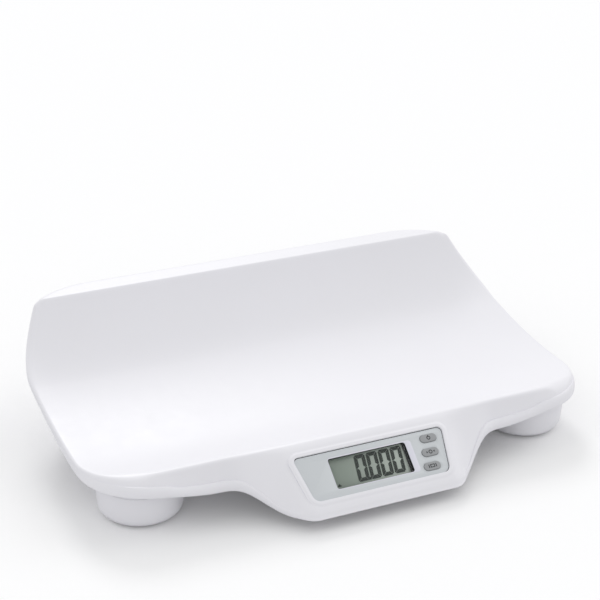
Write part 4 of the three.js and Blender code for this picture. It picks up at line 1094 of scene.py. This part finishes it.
def following(shape, rule):
    """The body with its heights near FOLLOW moved to where a rule says."""
    points, faces = shape
    return [(x, y, rule(x, y) + z - FOLLOW if z > FOLLOW / 2 else z) for x, y, z in points], faces


def brick(half_x, front, rear, low, high, radius=0.6, rounding=0.0):
    """A block with upright corners of a radius, and with its other edges rounded if asked."""
    loop = box_between(-half_x, half_x, front, rear, radius, 5)
    return stack([loop], slab(low, high, rounding)) if rounding else post(loop, low, high)


def rods(places, radius, low, high, steps=32):
    return gather(*[post(ring_outline(radius, x, y, steps), low, high) for x, y in places])


def tube(x, y, radius, low, high):
    """A boss or post with a hole for a screw."""
    return stack([ring_outline(radius, x, y), ring_outline(SCREW_HOLE_R, x, y, 20)],
                 [(0, low), (0, high)])


print("tray's underside over the middle:", round(under_rim(0, 0) + RIM_GAP, 1), "mm")

# %% Mould the base cover
bend = [(-BASE_ROUND * (1 - math.sin(turn)), BASE_Z + BASE_ROUND * (1 - math.cos(turn)))
        for turn in np.linspace(0, math.pi / 2, BASE_ROUND_STEPS)]
pan_profile = [
    *bend, (0, FOLLOW - 0.5), (-0.15, FOLLOW - 0.15), (-0.5, FOLLOW), (-2.0, FOLLOW),
    (-BASE_WALL, FOLLOW - 0.4), (-BASE_WALL, BASE_FLOOR + 1.6), (-2.9, BASE_FLOOR + 0.6),
    (-4.0, BASE_FLOOR)]
pan_line = dense(box_outline(BASE_HALF_X, BASE_HALF_Y, BASE_CORNER, 0, BASE_MID_Y, 28),
                 BASE_LOOP_LONGEST)
pan = following(stack([pan_line], pan_profile), under_rim)
base = solid("base_pan", pan, white_plastic, COVER_SHARP)
below, bay_outer = BASE_Z - 1, BAY_HALF_Y + BAY_WALL
foot_places = list(FEET.values())
foot_screw_places = [(x + side * POST_OFFSET, y) for x, y in foot_places for side in (-1, 1)]
combine(base, "UNION", rods(BASE_SCREWS, BASE_POST_R, BASE_Z + 0.6, BASE_POST_TOP),
        brick(BAY_HALF_X + BAY_WALL, -bay_outer, bay_outer, BAY_LOW, BASE_FLOOR - 0.3,
              BAY_CORNER, BAY_ROUND))
combine(base, "DIFFERENCE",
        brick(BAY_HALF_X, -BAY_HALF_Y, BAY_HALF_Y, DOOR_TOP, BASE_Z),
        brick(BAY_HALF_X, -BAY_HALF_Y, bay_outer + 1, RAIL_LOW, RAIL_TOP),
        brick(BAY_HALF_X - RAIL_REACH, -BAY_HALF_Y, bay_outer + 1, BAY_LOW - 1, DOOR_TOP),
        rods(BASE_SCREWS, COUNTERBORE_R, below, COUNTERBORE_TOP),
        rods(BASE_SCREWS + foot_screw_places, SCREW_HOLE_R, below, BASE_POST_TOP + 1, 20),
        rods(foot_places + [(0, BATTERY_HOLE_Y)], LEAD_HOLE_R, below, BASE_FLOOR + 1, 24),
        brick(LEAD_SLOT_HALF, LEAD_SLOT_FRONT, LEAD_SLOT_REAR, COUNTERBORE_TOP, LEAD_SLOT_TOP))
keep_sharp(base.data, COVER_SHARP)
settle(base, "white_plastic", "base_cover")

# %% Bosses under the tray and posts behind the display
TRAY_BOSS_R, TRAY_BOSS_LOW = 4.5, 44.3
DISPLAY_POST_R, DISPLAY_POST_LOW, DISPLAY_POST_TOP = 3, -13.7, -1.8
DISPLAY_SCREWS = [(-79.5, -4), (79.5, -4)]
bosses = [following(tube(*place, TRAY_BOSS_R, TRAY_BOSS_LOW, FOLLOW), inside_wall)
          for place in BASE_SCREWS]
bosses += [laid(tube(*place, DISPLAY_POST_R, DISPLAY_POST_LOW, DISPLAY_POST_TOP))
           for place in DISPLAY_SCREWS]
make("tray_bosses", gather(*bosses), white_plastic, "white_plastic")

# %% [markdown]
# ## The pod's back cover
# A shallow lid closes the display pod from behind. The leads pass through a slot at its top, and
# two screws hold it.

# %% Mould the pod's back cover
BACK_TOP_HALF, BACK_BOTTOM_HALF, BACK_HALF_HEIGHT = 86.5, 83.5, 24
BACK_LOW, BACK_HIGH, BACK_WALL, BACK_CORNER = -16, -7, 2, 4
BACK_FLOOR, SLOT_HALF_Y = BACK_LOW + BACK_WALL, 3


def lay_down(piece):
    """Lays a piece that was drawn flat on the display's plane."""
    flat = np.zeros(len(piece.data.vertices) * 3)
    piece.data.vertices.foreach_get("co", flat)
    points = laid((flat.reshape(-1, 3) / MM, None))[0]
    piece.data.vertices.foreach_set("co", (points * MM).ravel())
    keep_sharp(piece.data, COVER_SHARP)


back_line = wedge_outline(BACK_BOTTOM_HALF, BACK_TOP_HALF, BACK_HALF_HEIGHT, [BACK_CORNER] * 4)
lid_profile = [
    (-1.6, BACK_LOW), (-0.8, BACK_LOW + 0.2), (-0.2, BACK_LOW + 0.8), (0, BACK_LOW + 1.6),
    (0, BACK_HIGH - 0.3), (-0.3, BACK_HIGH), (-BACK_WALL + 0.3, BACK_HIGH),
    (-BACK_WALL, BACK_HIGH - 0.3), (-BACK_WALL, BACK_FLOOR + 1),
    (-BACK_WALL - 0.3, BACK_FLOOR + 0.3), (-BACK_WALL - 1, BACK_FLOOR)]
lid = solid("pod_back_cover", stack([back_line], lid_profile), white_plastic)
combine(lid, "DIFFERENCE", rods(DISPLAY_SCREWS, SCREW_HOLE_R, BACK_LOW - 1, BACK_FLOOR + 1, 20),
        post(box_outline(LEAD_SLOT_HALF, SLOT_HALF_Y, 0.6, 0, BACK_HALF_HEIGHT, 5), BACK_FLOOR, 0))
lay_down(lid)
settle(lid, "white_plastic", "display_back_cover")

# %% [markdown]
# ## What repeats
# Sixteen screws are the same but for their length and the way each happened to be turned home,
# and the door has a row of equal finger ribs. Geometry Nodes fit this: one piece is drawn once
# and set on points, and a seed gives each screw its own turn. The result is made into a plain
# mesh at the end, so nothing is left to compute later.


# %% Helpers for repeated pieces
def repeat(name, source, points, finish, low=(0, 0, 0), high=(0, 0, 0), seed=1):
    """Sets copies of a source object on points in millimetres, each turned between low and high,
    by a node tree whose result becomes a plain mesh."""
    tree = bpy.data.node_groups.new(name, "GeometryNodeTree")

    def socket(label, kind, way="INPUT"):
        return tree.interface.new_socket(label, in_out=way, socket_type="NodeSocket" + kind)

    values = {"Piece": ("Object", source), "Turn Low": ("Vector", low),
              "Turn High": ("Vector", high), "Seed": ("Int", seed), "Finish": ("Material", finish)}
    socket("Points", "Geometry")
    sockets = {label: socket(label, kind) for label, (kind, _) in values.items()}
    socket("Mesh", "Geometry", "OUTPUT")
    given = node(tree, "NodeGroupInput").outputs
    info = node(tree, "GeometryNodeObjectInfo")
    turn = node(tree, "FunctionNodeRandomValue", data_type="FLOAT_VECTOR")
    copies = node(tree, "GeometryNodeInstanceOnPoints")
    plain = node(tree, "GeometryNodeRealizeInstances")
    painted = node(tree, "GeometryNodeSetMaterial")
    result = node(tree, "NodeGroupOutput")
    wire(tree,
         (given["Points"], copies.inputs["Points"]), (given["Piece"], info.inputs["Object"]),
         (given["Turn Low"], turn.inputs["Min"]), (given["Turn High"], turn.inputs["Max"]),
         (given["Seed"], turn.inputs["Seed"]), (given["Finish"], painted.inputs["Material"]),
         (info.outputs["Geometry"], copies.inputs["Instance"]),
         (turn.outputs[0], copies.inputs["Rotation"]), (copies.outputs[0], plain.inputs[0]),
         (plain.outputs[0], painted.inputs["Geometry"]),
         (painted.outputs[0], result.inputs["Mesh"]))
    holder_mesh = bpy.data.meshes.new(name)
    holder_mesh.from_pydata((np.asarray(points, float) * MM).tolist(), [], [])
    holder = link(bpy.data.objects.new(name, holder_mesh))
    grow = holder.modifiers.new("repeat", "NODES")
    grow.node_group = tree
    for label, entry in sockets.items():
        grow[entry.identifier] = values[label][1]
    mesh = final_mesh(holder)
    bpy.data.objects.remove(holder)
    bpy.data.objects.remove(source)
    return piece_of(name, mesh, finish, 40)


def worked_metal(name, colour, roughness, stretch=None, scale=900.0):
    """Metal with fine tool marks, uneven polish and a faint film of dirt."""
    made = Finish(name, Metallic=1.0)
    made.tint(made.noise(120, 3), [c * 0.78 for c in colour], colour)
    marks = made.noise(scale, 4, 0.65, stretch)
    made.gloss(marks, roughness - 0.08, roughness + 0.16)
    made.relief(marks, 0.08, 0.0002)
    return made.material


steel = worked_metal("screw_steel", (0.62, 0.63, 0.65), 0.3)
print("metal mixed")

# %% Draw one screw
THREAD_PITCH, THREAD_DEPTH, THREAD_START, THREAD_STOP = 1.0, 0.42, 0.35, 0.8
THREAD_STEPS, THREAD_SIDES, THREAD_SHARPNESS = 7, 20, 3.2
SCREW_R, HEAD_R, HEAD_HIGH, HEAD_EDGE, HEAD_TURN = 1.5, 2.8, 2.0, 0.55, 1.35
CROSS_LONG, CROSS_WIDE, CROSS_ROUND, CROSS_TAPER, CROSS_FLOOR = 1.75, 0.42, 0.12, 0.25, 0.75


def screw_mesh(name, length):
    """A pan-head screw that stands on its tip: a winding thread, a domed head, a cross recess."""
    turn = np.arange(THREAD_SIDES) * FULL_TURN / THREAD_SIDES

    def ring(radius, height):
        level = np.full(THREAD_SIDES, height)
        return np.column_stack([radius * np.cos(turn), radius * np.sin(turn), level])

    rings = [[(0, 0, 0)]]
    for height in np.arange(THREAD_START, length - THREAD_STOP, THREAD_PITCH / THREAD_STEPS):
        phase = np.mod(height / THREAD_PITCH - turn / FULL_TURN, 1)
        ridge = 1 - np.minimum(1, np.abs(phase - 0.5) * THREAD_SHARPNESS)
        taper = min(1, 0.45 + height / 2.2)
        rings.append(ring((SCREW_R - THREAD_DEPTH * (1 - ridge)) * taper, height))
    dome = [(HEAD_R * math.cos(a) ** 0.7, HEAD_EDGE + (HEAD_HIGH - HEAD_EDGE) * math.sin(a))
            for a in np.linspace(0, HEAD_TURN, 7)]
    head = [(SCREW_R - 0.3, -0.6), (SCREW_R - 0.1, -0.02), (SCREW_R, 0), (HEAD_R - 0.15, 0),
            (HEAD_R, 0.15), *dome]
    rings += [ring(radius, length + above) for radius, above in head]
    screw = solid(name, skin([*rings, [(0, 0, length + HEAD_HIGH)]]), steel, 40)
    cross = [(-CROSS_TAPER, length + CROSS_FLOOR), (0, length + HEAD_HIGH + 0.2)]
    arms = ((CROSS_LONG, CROSS_WIDE), (CROSS_WIDE, CROSS_LONG))
    combine(screw, "DIFFERENCE", *[stack([box_outline(*arm, CROSS_ROUND, steps=3)], cross)
                                   for arm in arms])
    return screw


print("a thread has", THREAD_STEPS, "rings to each", THREAD_PITCH, "mm")

# %% Set the screws
SCREW_TIP, FOOT_SCREW_TIP, DISPLAY_SCREW_TIP = 51.7, 30.8, -9.3
SIDES = ("left", "right")
SCREW_SETS = {
    "base_screw": (10.5, BASE_SCREWS, SCREW_TIP, math.pi,
                   [f"{row}_{side}" for row in ("front", "mid", "rear") for side in SIDES]),
    "foot_screw": (10, foot_screw_places, FOOT_SCREW_TIP, 0.0,
                   [f"{place}_{end}" for place in FEET for end in "ab"]),
    "display_screw": (7, DISPLAY_SCREWS, DISPLAY_SCREW_TIP, math.pi, SIDES),
}
for seed, (name, (length, places, tip, flip, ends)) in enumerate(SCREW_SETS.items(), 3):
    screw, tips = screw_mesh(name + "_pattern", length), [(x, y, tip) for x, y in places]
    screws = repeat(name + "s", screw, tips, steel, (flip, 0, 0), (flip, 0, FULL_TURN), seed)
    if name == "display_screw":
        lay_down(screws)
    settle(screws, "steel", *[f"{name}_{end}" for end in ends])

# %% [markdown]
# ## The battery door
# The door slides in two rails and opens to the rear. Its ribs give a thumb something to push.

# %% Make the battery door and its ribs
DOOR_HALF_X, DOOR_FRONT, DOOR_REAR, DOOR_LOW = 30.9, -29.3, 31.8, 20.7
RIB_LENGTH, RIB_WIDTH, RIB_PITCH, RIB_COUNT, RIB_LOW, RIB_HIGH = 30, 1.4, 3.6, 4, 19.7, 21.2
panel = brick(DOOR_HALF_X, DOOR_FRONT, DOOR_REAR, DOOR_LOW, DOOR_TOP, DOOR_CORNER, DOOR_ROUND)
make("door_panel", panel, white_plastic, "white_plastic", "battery_door",
     sharp=40, body="battery_door")
rib_profile = [(-0.5, RIB_LOW), (-0.2, RIB_LOW + 0.12), (-0.05, RIB_LOW + 0.45), (0, RIB_HIGH)]
rib_line = oval_outline(RIB_LENGTH, RIB_WIDTH, 0, 0, 9)
rib = solid("rib_pattern", stack([rib_line], rib_profile), white_plastic)
rib_places = [(0, BAY_HALF_Y - (i + 1) * RIB_PITCH, 0) for i in range(RIB_COUNT)]
settle(repeat("door_ribs", rib, rib_places, white_plastic), "white_plastic", body="battery_door")

# %% [markdown]
# ## Batteries and contacts
# Four cells lie side by side, turned end for end, and the contact plates join them in a row.
# A conical spring presses on each flat end. They show when the door is open.

# %% Make the cells and the contacts
CELLS = range(4)
CELL_R, CELL_LENGTH, NUB_R, NUB_LENGTH, CELL_Z, CELL_PITCH = 7.1, 49, 2.7, 1.5, 30.1, 15.2
CAN_R, JACKET_INNER, JACKET_LOW, JACKET_TOP = CELL_R - 0.1, CELL_R - 0.3, 0.8, CELL_LENGTH - 0.9
NUB_FACE, NUB_TOP = 28.4, CELL_LENGTH + NUB_LENGTH
PLATE_HALF_HIGH, PLATE_HALF_WIDE, PLATE_OUTER, PLATE_INNER = 6, 5.5, 29.3, 28.7
SPRING_R, SPRING_TIP_R, SPRING_WIRE, SPRING_TURNS, SPRING_TIP_Y = 4.2, 2.4, 0.35, 3.5, 22.4
CELL_STEPS, SPRING_STEPS, SPRING_SIDES = 48, 84, 10
CONTACTS = {"front_1": ([0], -1), "front_2": ([1, 2], -1), "front_3": ([3], -1),
            "rear_1": ([0, 1], 1), "rear_2": ([2, 3], 1)}

can_line = eased_line([
    (0, 0, 0), (5.6, 0, 0.3), (5.9, 0.25, 0.2), (6.6, 0.05, 0.3), (CAN_R, 0.5, 0.35),
    (CAN_R, CELL_LENGTH - 0.4, 0.4), (5.2, CELL_LENGTH - 0.1, 0.3), (NUB_R, CELL_LENGTH, 0.2),
    (NUB_R, NUB_TOP, 0.5), (0, NUB_TOP, 0)], closed=False)
jacket_line = eased_line([(JACKET_INNER, JACKET_LOW, 0.08), (CELL_R, JACKET_LOW, 0.2),
                          (CELL_R, JACKET_TOP, 0.2), (JACKET_INNER, JACKET_TOP, 0.08)])


def cell_middle(i):
    return (i - (len(CELLS) - 1) / 2) * CELL_PITCH


def laid_along(line, i):
    """A turned cell laid along Y in its place. Even cells have their nub to the front."""
    points, faces = turned(line, CELL_STEPS)
    (x, y, z), sign = points.T, 1 if i % 2 else -1
    along = NUB_FACE - NUB_TOP + z
    return np.column_stack([x * sign + cell_middle(i), along * sign, y + CELL_Z]), faces


def wire_along(path, radius, sides):
    """A closed round wire along a path of points."""
    ahead = np.gradient(path, axis=0)
    ahead /= np.linalg.norm(ahead, axis=1)[:, None]
    side = np.cross(ahead[0], (0.3, 0.5, 0.8))
    turn = np.arange(sides) * FULL_TURN / sides
    rings = [path[:1]]
    for place, direction in zip(path, ahead):
        side = side - direction * (side @ direction)
        side /= np.linalg.norm(side)
        up = np.cross(direction, side)
        rings.append(place + radius * (np.outer(np.cos(turn), side) + np.outer(np.sin(turn), up)))
    return skin([*rings, path[-1:]])


def contact(cells, sign):
    """A thin plate over its cells and a spring for each flat end. Sign is -1 at the front."""
    left, right = cell_middle(cells[0]) - PLATE_HALF_WIDE, cell_middle(cells[-1]) + PLATE_HALF_WIDE
    plate = box_between(left, right, CELL_Z - PLATE_HALF_HIGH, CELL_Z + PLATE_HALF_HIGH, 1.2, 5)
    points, faces = stack([plate], slab(PLATE_INNER, PLATE_OUTER, 0.1))
    bodies = [(points[:, [0, 2, 1]] * (1, sign, 1), faces)]
    for i in cells:
        if (i % 2 == 0) == (sign > 0):
            share = np.linspace(0, 1, SPRING_STEPS)
            reach = mix(SPRING_R, SPRING_TIP_R, share) - SPRING_WIRE
            angle = share * SPRING_TURNS * FULL_TURN
            along = mix(PLATE_INNER - SPRING_WIRE * 0.6, SPRING_TIP_Y + SPRING_WIRE,
                        ease(share, -0.15, 1.15))
            coil = np.column_stack([cell_middle(i) + reach * np.cos(angle), along * sign,
                                    CELL_Z + reach * np.sin(angle)])
            bodies.append(wire_along(coil, SPRING_WIRE, SPRING_SIDES))
    return gather(*bodies)


can_metal = worked_metal("can_metal", (0.7, 0.7, 0.69), 0.28)
spring_steel = worked_metal("spring_steel", (0.66, 0.65, 0.62), 0.26)
jacket_film = moulded("cell_jacket", (0.035, 0.05, 0.075), 0.3, grain=0.01, tone=0.1)
cans, jackets = (gather(*[laid_along(line, i) for i in CELLS]) for line in (can_line, jacket_line))
make("cell_cans", cans, can_metal, "battery_can", *[f"battery_{i + 1}" for i in CELLS])
make("cell_jackets", jackets, jacket_film, "battery_can")
for name, (cells, sign) in CONTACTS.items():
    make("contact_" + name, contact(cells, sign), spring_steel, "steel", "battery_contact_" + name)

# %% [markdown]
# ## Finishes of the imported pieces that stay
# Load cells, wires, the board, the display's frame and the key switches lie inside, and the packed
# solids already have their shapes. They keep those and get a finish of their own.

# %% Finish what lies inside
board = Finish("board_lacquer")
tracks = node(board.tree, "ShaderNodeTexBrick", Scale=260.0, Color1=(0.018, 0.11, 0.045, 1),
              Color2=(0.024, 0.14, 0.055, 1), Mortar=(0.06, 0.24, 0.09, 1),
              **{"Mortar Size": 0.03})
board.feed(board.place, "Vector", tracks, "Color", "Base Color")
weave = board.noise(2400, 2)
board.gloss(weave, 0.22, 0.45)
board.relief(weave, 0.1, 0.0001)

cell_steel = worked_metal("load_cell_steel", (0.6, 0.61, 0.62), 0.34, (1, 14, 1), 260.0)
wire_jacket = moulded("wire_jacket", (0.04, 0.04, 0.043), 0.45, grain=0.03, tone=0.08)
KEPT = {"load_cell_lead": wire_jacket, "load_cell": cell_steel, "battery_lead": wire_jacket,
        "display_board": board.material, "lcd_frame": dark_plastic, "tact_switch": dark_plastic}
finished = 0
for name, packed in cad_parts.items():
    start = next((key for key in KEPT if name.startswith(key)), None)
    if start:
        for material_slot in packed.material_slots:
            material_slot.material = KEPT[start]
        finished += 1
print("packed pieces with a finish of their own:", finished)
